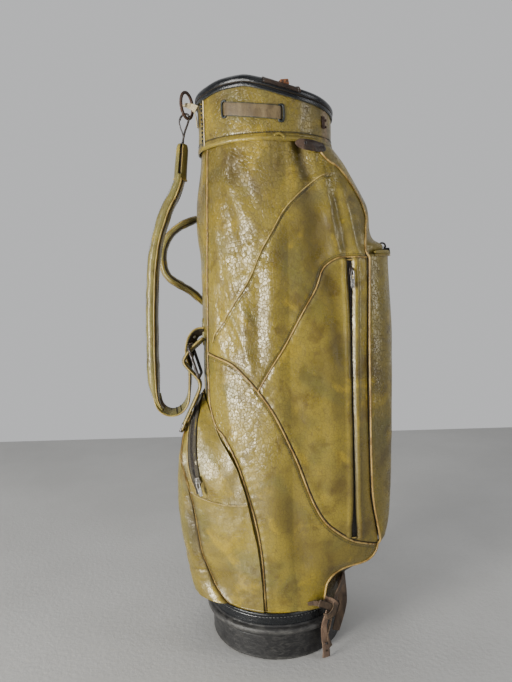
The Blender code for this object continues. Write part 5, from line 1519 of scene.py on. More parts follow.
def make_base_band():
    """The stitched vinyl band above the cup."""
    strip = [(0.1080, 0.0600), (0.1098, 0.0602), (0.1104, 0.0625), (0.1102, 0.0660), (0.1100, 0.0700),
             (0.1099, 0.0722), (0.1093, 0.0729), (0.1099, 0.0737), (0.1105, 0.0752), (0.1106, 0.0768),
             (0.1100, 0.0782), (0.1088, 0.0788), (0.1072, 0.0786)]

    def band_wear(p):
        return 0.5 * bell(p[..., 2] - 0.0775, 0.0014) * step(noise(p, 0.02, 2), -0.2, 0.5) + 0.05

    band = turned("base_band_vinyl", resample(strip, 0.0006), VINYL, band_wear, 0.00025, 360)
    fit(band, "bag", "black_vinyl", "base_band")
    degrees = np.linspace(-180, 180, 600)
    line = polar(0.1098, degrees, 0.0729 + 0.0003 * noise(polar(0.1, degrees, 0.0), 0.02, 3))
    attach(stitches("base_stitches", line, radial(line), PALE_THREAD, 0.0056, 0.0036, 0.00030), "bag")


# ------------------------------------------------------------------ handle, strap and small leather


def flat_line(points, y, spacing):
    return resample([(x, y, z) for x, z in points], spacing)


def leather_band(name, line, width, thickness, material, power, rough=0.0004, count=36,
                 across=(0, 1, 0), turn=None):
    """A strap swept along a line. width, thickness and turn (its twist in radians) are functions of the
    share of its length."""
    seed = len(name) % 5

    def section(share):
        shape = oval(width(share), thickness(share), power, count)
        shape[:, 1] *= 1 + 0.05 * math.sin(31 * share + seed) + 0.04 * math.sin(83 * share + 2 * seed)
        if turn:
            c, s = math.cos(turn(share)), math.sin(turn(share))
            shape = np.stack([c * shape[:, 0] - s * shape[:, 1], s * shape[:, 0] + c * shape[:, 1]], -1)
        return shape

    obj = sweep(name, line, across, section, material)
    mesh = obj.data
    p = np.empty(len(mesh.vertices) * 3, np.float32)
    n = np.empty_like(p)
    mesh.vertices.foreach_get("co", p)
    mesh.vertices.foreach_get("normal", n)
    p, n = p.reshape(-1, 3).astype(float), n.reshape(-1, 3)
    rise = rough * (noise(p, 0.012, seed) + 0.6 * noise(p, 0.005, seed + 1))
    mesh.vertices.foreach_set("co", (p + n * rise[:, None]).astype(np.float32).ravel())
    mesh.update()
    return obj


def beside(line, across_shift, out_shift):
    """A line parallel to a band's path, and the band's outward direction there."""
    ahead = direction(line)
    side = np.broadcast_to([0, 1.0, 0], line.shape)
    side = side - (side * ahead).sum(1, keepdims=True) * ahead
    side /= np.linalg.norm(side, axis=1, keepdims=True)
    out = np.cross(ahead, side)
    return line + side * across_shift + out * out_shift, out


def along_band(line, across_shift, out_shift, turn=None):
    """A line at a fixed place of a band's section, and the band's outward direction there."""
    _, out = beside(line, 0.0, 0.0)
    side = np.broadcast_to(np.array([0, 1.0, 0]), line.shape)
    angle = np.array([turn(s) for s in np.linspace(0, 1, len(line))])[:, None] if turn else 0.0
    turned_side = np.cos(angle) * side + np.sin(angle) * out
    turned_out = np.cos(angle) * out - np.sin(angle) * side
    shift, lift = (np.reshape(v, (-1, 1)) for v in (across_shift, out_shift))
    return line + turned_side * shift + turned_out * lift, turned_out


def flat_on(place, up, ahead):
    """A frame lying on a band: Y along its outward direction."""
    side = np.cross(up, ahead)
    return frame_at(place, side / np.linalg.norm(side), ahead)


HANDLE_DEGREES, HANDLE_Y = 162.6, 0.036
HANDLE_WIDTH, HANDLE_DEPTH = 0.0228, 0.0132
HANDLE_PATH = [(-0.1080, 0.6930), (-0.1180, 0.6890), (-0.1410, 0.6800), (-0.1610, 0.6640),
               (-0.1720, 0.6410), (-0.1738, 0.6160), (-0.1655, 0.5960), (-0.1480, 0.5830),
               (-0.1290, 0.5710), (-0.1150, 0.5580), (-0.1080, 0.5500)]


TAB_OUTLINE = [(-0.9, -1), (0.9, -1), (0.98, 0), (0.9, 1), (-0.9, 1), (-0.98, 0), (-0.9, -1)]


def make_handle():
    """The rolled carry handle."""
    line = flat_line(HANDLE_PATH, HANDLE_Y, 0.0016)

    def full(share):
        return min(1.0, 0.62 + 4 * min(share, 1 - share))

    body = leather_band("handle_leather", line, lambda s: HANDLE_WIDTH * full(s),
                        lambda s: HANDLE_DEPTH * full(s), STRAP_OLIVE, 2.1, 0.0003)
    fit(body, "handle", "olive_leatherette", "handle")
    inner = line[6:-6]
    for name, shift in (("front", -0.0070), ("rear", 0.0070)):
        for side, out in (("outer", 0.0056), ("inner", -0.0056)):
            row, up = beside(inner, shift, out)
            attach(stitches(f"handle_stitches_{name}_{side}", row, up * np.sign(out), THREAD, 0.0040),
                    "handle")
    # painted highlight along the handle's outer edges, painted shade along its inner ones
    for name, shift in (("front", -0.0098), ("rear", 0.0098)):
        for side, out, material in (("outer", -0.0036, PALE_EDGE_AND_HIGHLIGHT), ("inner", 0.0036, PAINTED_SHADE)):
            edge, _ = beside(line[4:-4], shift, out)
            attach(tube(f"handle_edge_{name}_{side}", edge, 0.0010, material, 8), "handle")


def make_handle_tabs():
    """The leather tabs that the handle hinges on."""
    for name, middle in (("upper", 0.6960), ("lower", 0.5560)):
        d, v = np.meshgrid(np.linspace(-1, 1, 40), np.linspace(-1, 1, 44))
        squeeze = np.sqrt(np.clip(1 - np.abs(v) ** 6, 0.30, 1))
        degrees = HANDLE_DEGREES + np.degrees(0.0128 / 0.108) * d * squeeze
        height = middle + 0.0165 * v
        skin, n, _ = leather_at(degrees, height, 0.0020)
        edge = np.exp(-((1 - np.maximum(np.abs(d), np.abs(v))) / 0.12))
        skin = skin - n * (0.0009 * edge)[..., None]
        tab = grid(f"handle_tab_{name}_leather", skin, STRAP_OLIVE, rim=0.0022,
                   values={"wear": 0.35 * edge, "shade": 0 * v})
        fit(tab, "bag", "olive_leatherette", f"handle_tab_{name}")
        loop = [(HANDLE_DEGREES + 6.0 * x, middle + 0.0140 * y) for x, y in TAB_OUTLINE]
        for number, (a, b) in enumerate(zip(loop, loop[1:])):
            row, n, _ = leather_at(np.linspace(a[0], b[0], 8), np.linspace(a[1], b[1], 8), 0.0022)
            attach(stitches(f"handle_tab_{name}_stitches_{number}", row, n, THREAD, 0.0036), "bag")


STRAP_Y, LOOSE_Y = -0.020, -0.0440
PAD_WIDTH, PAD_DEPTH = 0.0345, 0.0180
WEBBING_WIDTH, WEBBING_DEPTH = 0.0218, 0.0040
LOOSE_WIDTH, LOOSE_DEPTH = 0.0178, 0.0050
WEBBING_LEAN = 0.38    # radians
TIP_LEAN = 0.16
ANCHOR_DEGREES = -170.5
SLEEVE_PATH = [(-0.1270, 0.7985), (-0.1290, 0.7800), (-0.1312, 0.7620), (-0.1330, 0.7440)]
PAD_PATH = [(-0.1318, 0.7530), (-0.1345, 0.7420), (-0.1430, 0.7230), (-0.1590, 0.6930), (-0.1760, 0.6400),
            (-0.1840, 0.5770),
            (-0.1880, 0.4970), (-0.1890, 0.4350), (-0.1865, 0.4080), (-0.1815, 0.3920), (-0.1760, 0.3845)]
WEBBING_PATH = [(-0.1852, 0.4080), (-0.1822, 0.3930), (-0.1750, 0.3830), (-0.1640, 0.3782),
                (-0.1530, 0.3795), (-0.1430, 0.3860), (-0.1350, 0.4000), (-0.1310, 0.4250),
                (-0.1300, 0.4500), (-0.1295, 0.4720), (-0.1268, 0.4910), (-0.1210, 0.5030),
                (-0.1130, 0.5085), (-0.1040, 0.5090)]
LOOSE_PATH = [(-0.1040, 0.5000), (-0.1150, 0.4910), (-0.1270, 0.4800), (-0.1362, 0.4665), (-0.1315, 0.4560),
              (-0.1200, 0.4430),
              (-0.1135, 0.4335), (-0.1130, 0.4220), (-0.1210, 0.4035), (-0.1345, 0.3760), (-0.1450, 0.3530)]


def pad_width(share):
    return PAD_WIDTH - 0.0125 * step(share, 0.84, 1.0)


def pad_depth(share):
    full = PAD_DEPTH - 0.0140 * step(share, 0.86, 1.0) - 0.0045 * step(share, 0.10, 0.0)
    return full * (1 + 0.03 * math.sin(40 * share))


def webbing_turn(share):
    """The thin strap shows its inner face under the pad and over the arch at its top."""
    return WEBBING_LEAN * step(share, 0.55, 0.25) - 0.66 * step(share, 0.62, 0.80)


def make_sleeve():
    """The folded leather that hangs the strap on its hook."""
    sleeve_line = flat_line(SLEEVE_PATH, STRAP_Y, 0.0012)

    def folded(share):
        """Leather folded round the strap's end, its edges meeting in front of a dark hollow."""
        swell = 0.70 + 0.22 * math.sqrt(min(1, share / 0.14)) + 0.10 * share
        t = np.linspace(math.radians(-257), math.radians(77), 40)
        wide, deep = 0.0148 * swell, 0.0098 * swell
        outer = [(-wide * math.sin(a), deep * math.cos(a)) for a in t]
        inner = [(-(wide - 0.0026) * math.sin(a), (deep - 0.0022) * math.cos(a)) for a in t[::-1]]
        return np.array(outer + inner)

    sleeve = sweep("strap_sleeve_leather", sleeve_line, (0, 1, 0), folded, STRAP_OLIVE)
    fit(sleeve, "strap", "olive_leatherette", "strap_sleeve")
    core = leather_band("strap_sleeve_core", sleeve_line[5:], lambda s: 0.0225, lambda s: 0.0112, OXBLOOD,
                        2.4)
    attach(core, "strap")
    # one edge pale as a painted highlight
    for number, way in enumerate((-1, 1)):
        edge, _ = along_band(sleeve_line[3:], -0.0132, way * 0.0026)
        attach(tube(f"sleeve_edge_{number}", edge, 0.0009, PALE_EDGE_AND_HIGHLIGHT if way > 0 else STRAP_OLIVE, 8),
                "strap")
    # the hem pale, partly a painted highlight on its rim
    ends = folded(1.0)[:40]
    hem, hem_out = along_band(sleeve_line[-3:], 0, 0)
    rolled = hem[1] + ends[:, :1] * np.array([[0, 1.0, 0]]) + ends[:, 1:] * hem_out[1]
    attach(tube("sleeve_hem", rolled, 0.0012, PALE_EDGE_AND_HIGHLIGHT, 8), "strap")


def make_pad():
    """The padded shoulder strap."""
    pad_line = flat_line(PAD_PATH, STRAP_Y, 0.0018)
    pad = leather_band("shoulder_strap_leather", pad_line, pad_width, pad_depth, STRAP_OLIVE, 2.5, 0.0003,
                       64)
    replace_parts(pad, "shoulder_strap")
    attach(pad, "strap")
    shares = np.linspace(0, 1, len(pad_line))
    half_width = np.array([pad_width(s) for s in shares]) / 2
    half_depth = np.array([pad_depth(s) for s in shares]) / 2
    for name, way in (("front", -1), ("rear", 1)):
        # a pale cord, partly a painted highlight, and beside it a brown tube of painted shadow
        for kind, out, size, material in (("cord", 0.56, 0.00125, PALE_EDGE_AND_HIGHLIGHT),
                                          ("shadow", 0.78, 0.0008, BROWN)):
            reach = (1 - abs(out) ** 2.5) ** 0.4
            place, _ = along_band(pad_line, way * half_width * reach, half_depth * out)
            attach(tube(f"strap_{kind}_{name}", place[3:-3], size, material, 8), "strap")
        for kind, side in (("outer", -1), ("inner", 1)):
            place, up = along_band(pad_line, way * half_width * 0.66, side * half_depth * 0.90)
            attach(stitches(f"strap_stitches_{kind}_{name}", place[4:-8], side * up[4:-8], THREAD, 0.0042),
                    "strap")


def make_webbing():
    """The thin strap, from the pad's end up to its anchor."""
    line = flat_line(WEBBING_PATH, STRAP_Y, 0.0014)
    webbing = leather_band("strap_webbing_leather", line, lambda s: WEBBING_WIDTH, lambda s: WEBBING_DEPTH,
                           STRAP_OLIVE, 5, 0.0002, 44, turn=webbing_turn)
    fit(webbing, "strap", "olive_leatherette", "strap_webbing")
    start = int(0.60 * len(line))

    def upper_turn(share):
        return webbing_turn(0.60 + 0.40 * share)

    # a near-black sheet over the strap's inner face: painted shade
    inside, up = along_band(line[start:], 0.0, -0.0019, upper_turn)
    inner_shade = leather_band("strap_webbing_lining", inside, lambda s: 0.0190, lambda s: 0.0014, PAINTED_SHADE, 6,
                          0.0001, turn=upper_turn)
    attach(inner_shade, "strap")
    for number, at in enumerate((0.30, 0.45, 0.60, 0.75)):
        k = int(at * (len(inside) - 1))
        ahead = inside[min(k + 1, len(inside) - 1)] - inside[k - 1]
        hole = ring_points(flat_on(inside[k] - up[k] * 0.0008, up[k], ahead), 0.0018, 24)
        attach(tube(f"strap_hole_{number}", hole, 0.0007, NICKEL, 8, closed=True), "strap")
    # front edges pale as a painted highlight, rear edges dark as painted shade
    for name, way, edging in (("front", -1, PALE_EDGE_AND_HIGHLIGHT), ("rear", 1, PAINTED_SHADE)):
        for kind, out in (("outer", -0.0021), ("inner", 0.0021)):
            row, up = along_band(line, way * 0.0086, out, webbing_turn)
            up = np.sign(out) * up[3:-3]
            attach(stitches(f"webbing_stitches_{name}_{kind}", row[3:-3], up, THREAD, 0.0038), "strap")
        edge, _ = along_band(line, way * 0.0107, 0.0, webbing_turn)
        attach(tube(f"webbing_edge_{name}", edge, 0.0012, edging, 8), "strap")
    stain, up = along_band(line[6:26], 0.0, 0.0018, webbing_turn)

    def arch_turn(share):
        return WEBBING_LEAN

    made = leather_band("strap_stain", stain, lambda s: 0.0185 * (1 - 0.2 * s), lambda s: 0.0012, BROWN,
                        6, 0.0001, turn=arch_turn)
    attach(made, "strap")
    # dark tubes in the creases: painted shade
    for number, at in enumerate((0.25, 0.29)):
        k = int(at * (len(line) - 1))
        place, up = along_band(line[k - 1:k + 2], 0.0, 0.0025, arch_turn)
        side, _ = along_band(line[k - 1:k + 2], 1.0, 0.0025, arch_turn)
        way = side[1] - place[1]
        crease = place[1] + np.linspace(-0.0098, 0.0098, 14)[:, None] * way
        crease += np.array([1, 0, 1]) * 0.0006 * noise(crease, 0.006, number)[:, None]
        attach(tube(f"strap_crease_{number}", crease, 0.0006, PAINTED_SHADE, 6), "strap")


def make_loose_end():
    """The strap's loose end, through the buckle, with its metal tip."""
    line = flat_line(LOOSE_PATH, LOOSE_Y, 0.0012)

    def loose_turn(share):
        return 0.30 * step(share, 0.30, 0.08) - 0.05

    loose = leather_band("strap_loose_leather", line,
                         lambda s: LOOSE_WIDTH * (1 - 0.22 * max(0, s - 0.9) / 0.1), lambda s: LOOSE_DEPTH,
                         STRAP_OLIVE, 4, 0.00018, 40, turn=loose_turn)
    fit(loose, "strap", "olive_leatherette", "strap_loose_end")
    for name, way in (("front", -1), ("rear", 1)):
        for kind, out in (("outer", 0.0026), ("inner", -0.0026)):
            row, up = along_band(line, way * 0.0066, out, loose_turn)
            up = up[3:-9] * np.sign(out)
            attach(stitches(f"loose_stitches_{name}_{kind}", row[3:-9], up, THREAD, 0.0036), "strap")
        edge, _ = along_band(line, way * 0.0088, 0.0, loose_turn)
        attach(tube(f"loose_edge_{name}", edge[:-4], 0.0012, PALE_EDGE_AND_HIGHLIGHT, 8), "strap")

    def tip_turn(share):
        return TIP_LEAN

    tip = leather_band("strap_metal_tip", line[-13:], lambda s: 0.0186 * (1 - 0.25 * max(0, s - 0.5)),
                       lambda s: 0.0056, DARK_STEEL, 4, 0.0002, 30, turn=tip_turn)
    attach(tip, "strap")
    for number, way in enumerate((-1, 1)):
        place, up = along_band(line[-9:-6], way * 0.0042, 0.0028, tip_turn)
        rivet = ring_points(flat_on(place[1], up[1], line[-6] - line[-9]), 0.0010, 14)
        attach(tube(f"strap_tip_rivet_{number}", rivet, 0.0008, NICKEL, 8, closed=True), "strap")


def make_anchor():
    """The leather that holds the strap to the body."""
    d, v = np.meshgrid(np.linspace(-1, 1, 30), np.linspace(-1, 1, 50))
    squeeze = np.sqrt(np.clip(1 - np.abs(v) ** 8, 0.3, 1))
    skin, n, _ = leather_at(ANCHOR_DEGREES + 3.0 * d * squeeze, 0.508 + 0.0215 * v, 0.0019)
    anchor = grid("strap_anchor_leather", skin, STRAP_OLIVE, rim=0.002, values={"shade": 0 * v})
    fit(anchor, "bag", "olive_leatherette", "strap_anchor")
    for number, way in enumerate((-1, 1)):
        row, n, _ = leather_at(np.full(24, ANCHOR_DEGREES + 2.3 * way), np.linspace(0.490, 0.526, 24),
                               0.0021)
        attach(stitches(f"anchor_stitches_{number}", row, n, THREAD, 0.0034), "bag")


RING_RADIUS, RING_WIRE = 0.0190, 0.0024
HOOK_WIRE, GATE_WIRE, BUCKLE_WIRE = 0.0016, 0.0010, 0.00245
PRONG_RADIUS = 0.0016
PRONG_LIFT = 0.0033
RING_CENTRE = np.array([-0.1180, STRAP_Y, 0.8560])
RING_TURN = math.radians(21.5)


def make_ring():
    """The strap's ring and its leather tab."""
    side = np.array([-math.sin(RING_TURN), -math.cos(RING_TURN), 0])
    t = np.linspace(0, math.tau, 96, endpoint=False)
    ring = RING_CENTRE + RING_RADIUS * (np.cos(t)[:, None] * side + np.sin(t)[:, None] * UP)
    wire = RING_WIRE * (1 + 0.05 * noise(ring, 0.006, 1))
    made = tube("strap_ring_wire", ring, wire, RUST, 16, closed=True)
    fit(made, "bag", None, "strap_ring")
    tab = flat_line([(-0.1030, 0.8240), (-0.1050, 0.8400), (-0.1100, 0.8500), (-0.1180, 0.8545),
                     (-0.1235, 0.8560)],
                    STRAP_Y, 0.0010)
    leather_tab = leather_band("ring_tab_leather", tab, lambda s: 0.0125 - 0.003 * s, lambda s: 0.0020,
                               CREAM, 5, 0.0002)
    fit(leather_tab, "bag", "olive_leatherette", "ring_tab")
    fold = resample([(-0.1010, -0.0450, 0.8440), (-0.1075, -0.0400, 0.8485), (-0.1140, -0.0330, 0.8525),
                     (-0.1200, -0.0285, 0.8555)], 0.0010)
    made = leather_band("ring_tab_fold", fold, lambda s: 0.0110 - 0.0055 * s, lambda s: 0.0022, CREAM, 5,
                        0.0003, 30, (0.1, 0.25, 1))
    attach(made, "bag")


def make_hook():
    """The wire snap hook and its gate."""
    top = RING_CENTRE[2] - RING_RADIUS
    hook = [(-0.1270, 0.7990), (-0.1235, 0.8150), (-0.1180, 0.8290), (-0.1152, top + 0.0010),
            (-0.1165, top + 0.0052), (-0.1200, top + 0.0068), (-0.1245, top + 0.0056),
            (-0.1280, top + 0.0020), (-0.1302, top - 0.0030)]
    line = flat_line(hook, STRAP_Y, 0.0010)
    made = tube("snap_hook_wire", line, HOOK_WIRE * (1 + 0.05 * noise(line, 0.005, 2)), DARK_STEEL, 14)
    fit(made, "strap", None, "snap_hook")
    shank = flat_line([(-0.1283, 0.7900), (-0.1274, 0.7975), (-0.1258, 0.8045)], STRAP_Y, 0.0008)
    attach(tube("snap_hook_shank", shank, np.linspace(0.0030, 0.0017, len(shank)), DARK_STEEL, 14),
            "strap")
    gate = flat_line([(-0.1306, top - 0.0036), (-0.1304, top - 0.0070), (-0.1286, 0.8220),
                      (-0.1270, 0.8180)], STRAP_Y, 0.0008)
    made = tube("snap_gate_wire", gate, GATE_WIRE, DARK_STEEL, 12)
    fit(made, "gate", None, "snap_gate")
    stem = flat_line([(-0.1270, 0.8180), (-0.1258, 0.8120), (-0.1250, 0.8060)], STRAP_Y, 0.0008)
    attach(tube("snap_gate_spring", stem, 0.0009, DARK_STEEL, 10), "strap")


def make_buckle():
    """The wire frame and the prong."""
    high, low = np.array([-0.1270, 0, 0.4880]), np.array([-0.1130, 0, 0.4400])
    near, far = LOOSE_Y - 0.0135, STRAP_Y + 0.0145
    corners = [high + [0, near, 0], high + [0, far, 0], low + [0, far, 0], low + [0, near, 0]]
    points = []
    for a, b, c in zip(corners, corners[1:] + corners[:1], corners[2:] + corners[:2]):
        to_a, to_c = (a - b) / np.linalg.norm(a - b), (c - b) / np.linalg.norm(c - b)
        turns = np.linspace(0, 1, 7)
        points += [b + to_a * 0.0040 * (1 - s) ** 2 + to_c * 0.0040 * s**2 for s in turns]
    frame_wire = tube("buckle_wire", np.array(points), BUCKLE_WIRE, DARK_STEEL, 14, closed=True)
    fit(frame_wire, "strap", None, "buckle_frame")
    prong_y = (STRAP_Y - 0.011 + LOOSE_Y + 0.009) / 2
    along = (low - high) / np.linalg.norm(low - high)
    lift = np.array([along[2], 0, -along[0]]) * PRONG_LIFT
    start = high + lift + [0, prong_y, 0]
    end = low + lift + along * 0.003 + [0, prong_y, 0]
    share = np.linspace(0, 1, 40)
    line = start + share[:, None] * (end - start)
    prong = tube("buckle_prong_wire", line, PRONG_RADIUS - 0.0005 * share**3, DARK_STEEL, 12)
    fit(prong, "prong", None, "buckle_prong")
    turns = np.linspace(0, math.tau * 0.8, 24)[:, None]
    wrap = high + [0, prong_y, 0] + 0.0029 * (np.cos(turns) * lift / PRONG_LIFT + np.sin(turns) * along)
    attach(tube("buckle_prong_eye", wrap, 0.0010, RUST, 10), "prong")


TIE_DEGREES = -51.5
TAB_DEGREES, TAB_HEIGHT = -55.5, 0.7768


def make_tie():
    """A leather thong knotted round the pocket's foot, its two flat tails hanging over the cup."""
    across = polar(1, TIE_DEGREES + 90, 0)
    out = polar(1, TIE_DEGREES, 0)

    def at(radius, height, lean):
        return polar(radius, TIE_DEGREES, height) + across * lean

    front = resample([tuple(at(*v)) for v in ((0.1290, 0.0800, -0.0040), (0.1280, 0.0700, -0.0070),
                                              (0.1240, 0.0560, -0.0080), (0.1222, 0.0420, -0.0075),
                                              (0.1226, 0.0260, -0.0050), (0.1250, 0.0140, -0.0062),
                                              (0.1275, 0.0030, -0.0085))], 0.0012)
    tail = leather_band("tie_tail_front", front, lambda s: 0.0090 + 0.0060 * step(s, 0.35, 0.75),
                        lambda s: 0.0022, PINK_LEATHER,
                        6, 0.0005, 34, across, turn=lambda s: 0.5 * math.sin(4 * s) * (1 - s))
    fit(tail, "bag", "brown_leather", "tie_end")
    rear = resample([tuple(at(*v)) for v in ((0.1285, 0.0800, 0.0040), (0.1275, 0.0680, 0.0060),
                                             (0.1235, 0.0540, 0.0060), (0.1215, 0.0400, 0.0030),
                                             (0.1218, 0.0270, 0.0010), (0.1232, 0.0120, 0.0040))], 0.0012)
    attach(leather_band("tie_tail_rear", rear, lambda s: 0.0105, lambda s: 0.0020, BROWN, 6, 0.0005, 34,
                         across, turn=lambda s: -0.9 * math.sin(3 * s)), "bag")
    wraps = [([(0.1262, 0.0960, -0.0210), (0.1300, 0.0920, -0.0130), (0.1330, 0.0850, -0.0030),
               (0.1315, 0.0770, 0.0070), (0.1270, 0.0720, 0.0130)], BROWN, 0.0112),
             ([(0.1255, 0.0975, -0.0080), (0.1300, 0.0950, -0.0020), (0.1345, 0.0890, 0.0050),
               (0.1330, 0.0810, 0.0110), (0.1275, 0.0750, 0.0160)], PINK_LEATHER, 0.0110),
             ([(0.1262, 0.0700, -0.0100), (0.1325, 0.0720, -0.0060), (0.1360, 0.0790, 0.0010),
               (0.1340, 0.0870, 0.0080), (0.1290, 0.0930, 0.0120)], BROWN, 0.0122)]
    for number, (points, material, width) in enumerate(wraps):
        line = resample([tuple(at(*v)) for v in points], 0.0008)
        wrap = sweep(f"tie_knot_wrap_{number}", line, out + 0.0 * line,
                     lambda s: oval(0.0024, width, 5, 30), material)
        if number == 0:
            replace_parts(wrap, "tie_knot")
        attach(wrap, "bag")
        # dark tubes along each wrap's edges: painted shade between the wraps
        for side in (-1, 1):
            edge = line[2:-2] + out * 0.0012
            drift = np.cross(np.gradient(edge, axis=0), out)
            drift /= np.linalg.norm(drift, axis=1, keepdims=True)
            edge = edge + drift * side * (width / 2 - 0.0004)
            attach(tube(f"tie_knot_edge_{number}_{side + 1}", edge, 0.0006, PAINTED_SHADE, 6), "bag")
    loops = [([(0.1130, -66, 0.0900), (0.1200, -62, 0.0925), (0.1265, -57, 0.0900)], 0.0085, None),
             ([(0.1290, -50, 0.0830), (0.1290, -46, 0.0950), (0.1290, -40, 0.1060), (0.1260, -34, 0.1150),
               (0.1190, -28, 0.1180)], 0.0090, None),
             ([(0.1190, -30, 0.1200), (0.1240, -34, 0.1080), (0.1285, -37, 0.0900), (0.1285, -38, 0.0720),
               (0.1265, -40, 0.0540), (0.1240, -43, 0.0340)], 0.0170, (1, 0.35, 0))]
    for number, (points, width, across_loop) in enumerate(loops):
        loop = resample([tuple(polar(r, a, z)) for r, a, z in points], 0.0010)
        sideways = across_loop or np.cross(np.gradient(loop, axis=0), radial(loop))
        band = sweep(f"tie_loop_{number}", loop, sideways,
                     lambda s: oval(width * (1 - 0.25 * abs(2 * s - 1)), 0.0020, 5, 24), BROWN)
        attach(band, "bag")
    t = np.linspace(0, math.tau, 16, endpoint=False)[:, None]
    # painted shade: the hole is a dark ring
    for name, centre, radius, material in (("stud", at(0.1248, 0.0225, -0.0052), 0.0012, DARK_STEEL),
                                           ("hole", at(0.1268, 0.0120, -0.0066), 0.0010, PAINTED_SHADE)):
        ring = centre + radius * (np.cos(t) * across + np.sin(t) * UP)
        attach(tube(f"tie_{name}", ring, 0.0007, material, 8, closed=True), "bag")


def make_umbrella_tab():
    """An oval leather tab sewn under the cuff."""
    d, v = np.meshgrid(np.linspace(-1, 1, 110), np.linspace(-1, 1, 40))
    squeeze = np.clip(1 - np.abs(d) ** 2.6, 0.02, 1) ** 0.5
    degrees = TAB_DEGREES + 12.2 * d
    height = TAB_HEIGHT + 0.0080 * v * squeeze - 0.0030 * d
    skin, n, _ = leather_at(degrees, height)
    clear = polar(bag_radius(degrees, 0.776), degrees, height)
    reach, least = (np.linalg.norm(v[..., :2], axis=-1, keepdims=True) for v in (skin, clear))
    skin = np.where(reach > least, skin, clear)
    puff = 0.0032 + 0.0014 * (1 - (v * v)) * squeeze + 0.0005 * noise(skin, 0.006, 3)
    skin = skin + n * puff[..., None]
    wear = 1.9 * step(-d, 0.34, 0.66) * (1 + 0.3 * noise(skin, 0.006, 5))
    edge = step(np.abs(v), 0.80, 1.0)
    tab = grid("umbrella_tab_leather", skin, OXBLOOD, rim=0.0026, values={"wear": wear + 0.10 * edge})
    fit(tab, "bag", "brown_leather", "umbrella_tab")
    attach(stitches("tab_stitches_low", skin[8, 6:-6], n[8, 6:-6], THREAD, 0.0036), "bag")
    row, column = 22, 32
    along = tuple(polar(1, degrees[row, column] + 90, 0))
    eyelet = frame_at(skin[row, column] + n[row, column] * 0.0009, along, (0, 0, 1))
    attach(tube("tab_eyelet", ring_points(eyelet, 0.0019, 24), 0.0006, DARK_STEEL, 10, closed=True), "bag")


# ------------------------------------------------------------------ stage


def make_floor():
    floor_look = Look("studio_floor")
    clouds = floor_look.noise(0.35, 4.0, 0.6)
    grit = floor_look.noise(0.008, 4.0, 0.65)
    colour = floor_look.mix(floor_look.span(clouds, 0.3, 0.7), (0.50, 0.495, 0.475), (0.56, 0.555, 0.535))
    colour = floor_look.mix(floor_look.span(grit, 0.45, 0.75, 0.0, 0.25), colour, (0.42, 0.415, 0.40))
    floor_look.finish(colour, 0.75, floor_look.bump(grit, 0.0006))
    mesh = bpy.data.meshes.new("floor")
    mesh.from_pydata([(-5, -5, 0), (5, -5, 0), (5, 1.18, 0), (-5, 1.18, 0)], [], [(0, 1, 2, 3)])
    mesh.materials.append(floor_look.made)
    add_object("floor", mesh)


def make_world():
    """Dim light from the front, brighter from behind."""
    world = bpy.data.worlds.new("studio")
    bpy.context.scene.world = world
    world.use_nodes = True
    nodes, links = world.node_tree.nodes, world.node_tree.links
    direction = nodes.new("ShaderNodeTexCoord").outputs["Generated"]
    parts = nodes.new("ShaderNodeSeparateXYZ")
    links.new(direction, parts.inputs[0])
    behind = nodes.new("ShaderNodeMapRange")
    behind.interpolation_type = "SMOOTHSTEP"
    links.new(parts.outputs["Y"], behind.inputs["Value"])
    behind.inputs["From Min"].default_value = -0.1
    behind.inputs["From Max"].default_value = 0.6
    tone = nodes.new("ShaderNodeMix")
    tone.data_type = "RGBA"
    links.new(behind.outputs[0], tone.inputs["Factor"])
    tone.inputs[6].default_value = (0.15, 0.155, 0.17, 1)
    tone.inputs[7].default_value = (0.60, 0.605, 0.615, 1)
    links.new(tone.outputs[2], nodes["Background"].inputs[0])
    nodes["Background"].inputs[1].default_value = 1.0


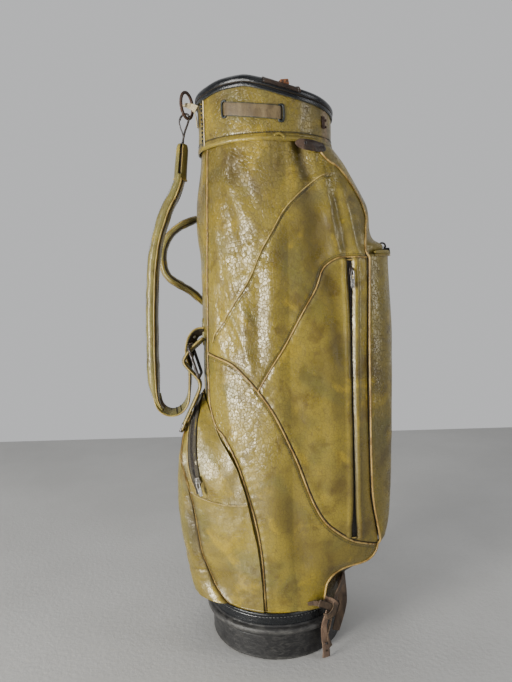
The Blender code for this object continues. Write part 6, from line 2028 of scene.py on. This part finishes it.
def make_lights():
    def area(name, place, target, size, power, colour):
        light = bpy.data.lights.new(name, "AREA")
        light.shape = "RECTANGLE"
        light.size, light.size_y = size
        light.energy = power
        light.color = colour
        obj = add_object(name, light)
        obj.location = place
        obj.rotation_euler = (Vector(target) - Vector(place)).to_track_quat("-Z", "Y").to_euler()

    area("window", (-1.95, -1.62, 0.46), (0, 0, 0.30), (0.72, 0.95), 100, (1.0, 0.985, 0.94))
    area("low", (-1.25, -1.20, 0.12), (0, 0, 0.34), (0.75, 0.40), 18, (1.0, 0.985, 0.94))
    area("room", (0.5, -2.6, 2.1), (0, 0, 0.35), (2.6, 1.6), 15, (1.0, 0.99, 0.97))
    area("fill", (2.1, -0.7, 0.9), (0, 0, 0.45), (0.45, 1.5), 16, (0.97, 0.98, 1.0))
    area("top", (-0.3, 0.2, 2.4), (0, 0, 0.5), (1.2, 1.2), 6, (0.97, 0.98, 1.0))


CAMERA_PLACE = (-0.0226, -0.9683, 0.6033)
CAMERA_LENS = 31.47    # millimetres
CAMERA_DOWN, CAMERA_ROLL = math.radians(6.77), math.radians(1.65)


def make_camera():
    camera = bpy.data.cameras.new("camera")
    camera.lens = CAMERA_LENS
    camera.sensor_width = 36
    camera.dof.use_dof = False
    view = add_object("camera", camera)
    down, roll = CAMERA_DOWN, CAMERA_ROLL
    look = Vector((0, math.cos(down), -math.sin(down)))
    right = Vector((1, 0, 0))
    up = right.cross(look)
    turned_right = right * math.cos(roll) - up * math.sin(roll)
    turned_up = up * math.cos(roll) + right * math.sin(roll)
    view.matrix_world = Matrix((turned_right, turned_up, -look)).transposed().to_4x4()
    view.location = CAMERA_PLACE
    bpy.context.scene.camera = view


for make in (make_floor, make_world, make_lights, make_camera, make_wrap, make_pocket_end,
             make_accessory, make_piping, make_ball_gusset, make_ball_zip_edges, make_ball_face,
             make_ball_seams, make_apparel_zip, make_ball_zip, make_accessory_zip, make_cuff,
             make_cuff_hem, make_cuff_lacing, make_cuff_strip, make_rim, make_rim_flaps, make_rim_lug,
             make_plate, make_mouth, make_base, make_base_band, make_handle, make_handle_tabs,
             make_sleeve, make_pad, make_webbing, make_loose_end, make_anchor, make_ring, make_hook,
             make_buckle, make_tie, make_umbrella_tab):
    make()
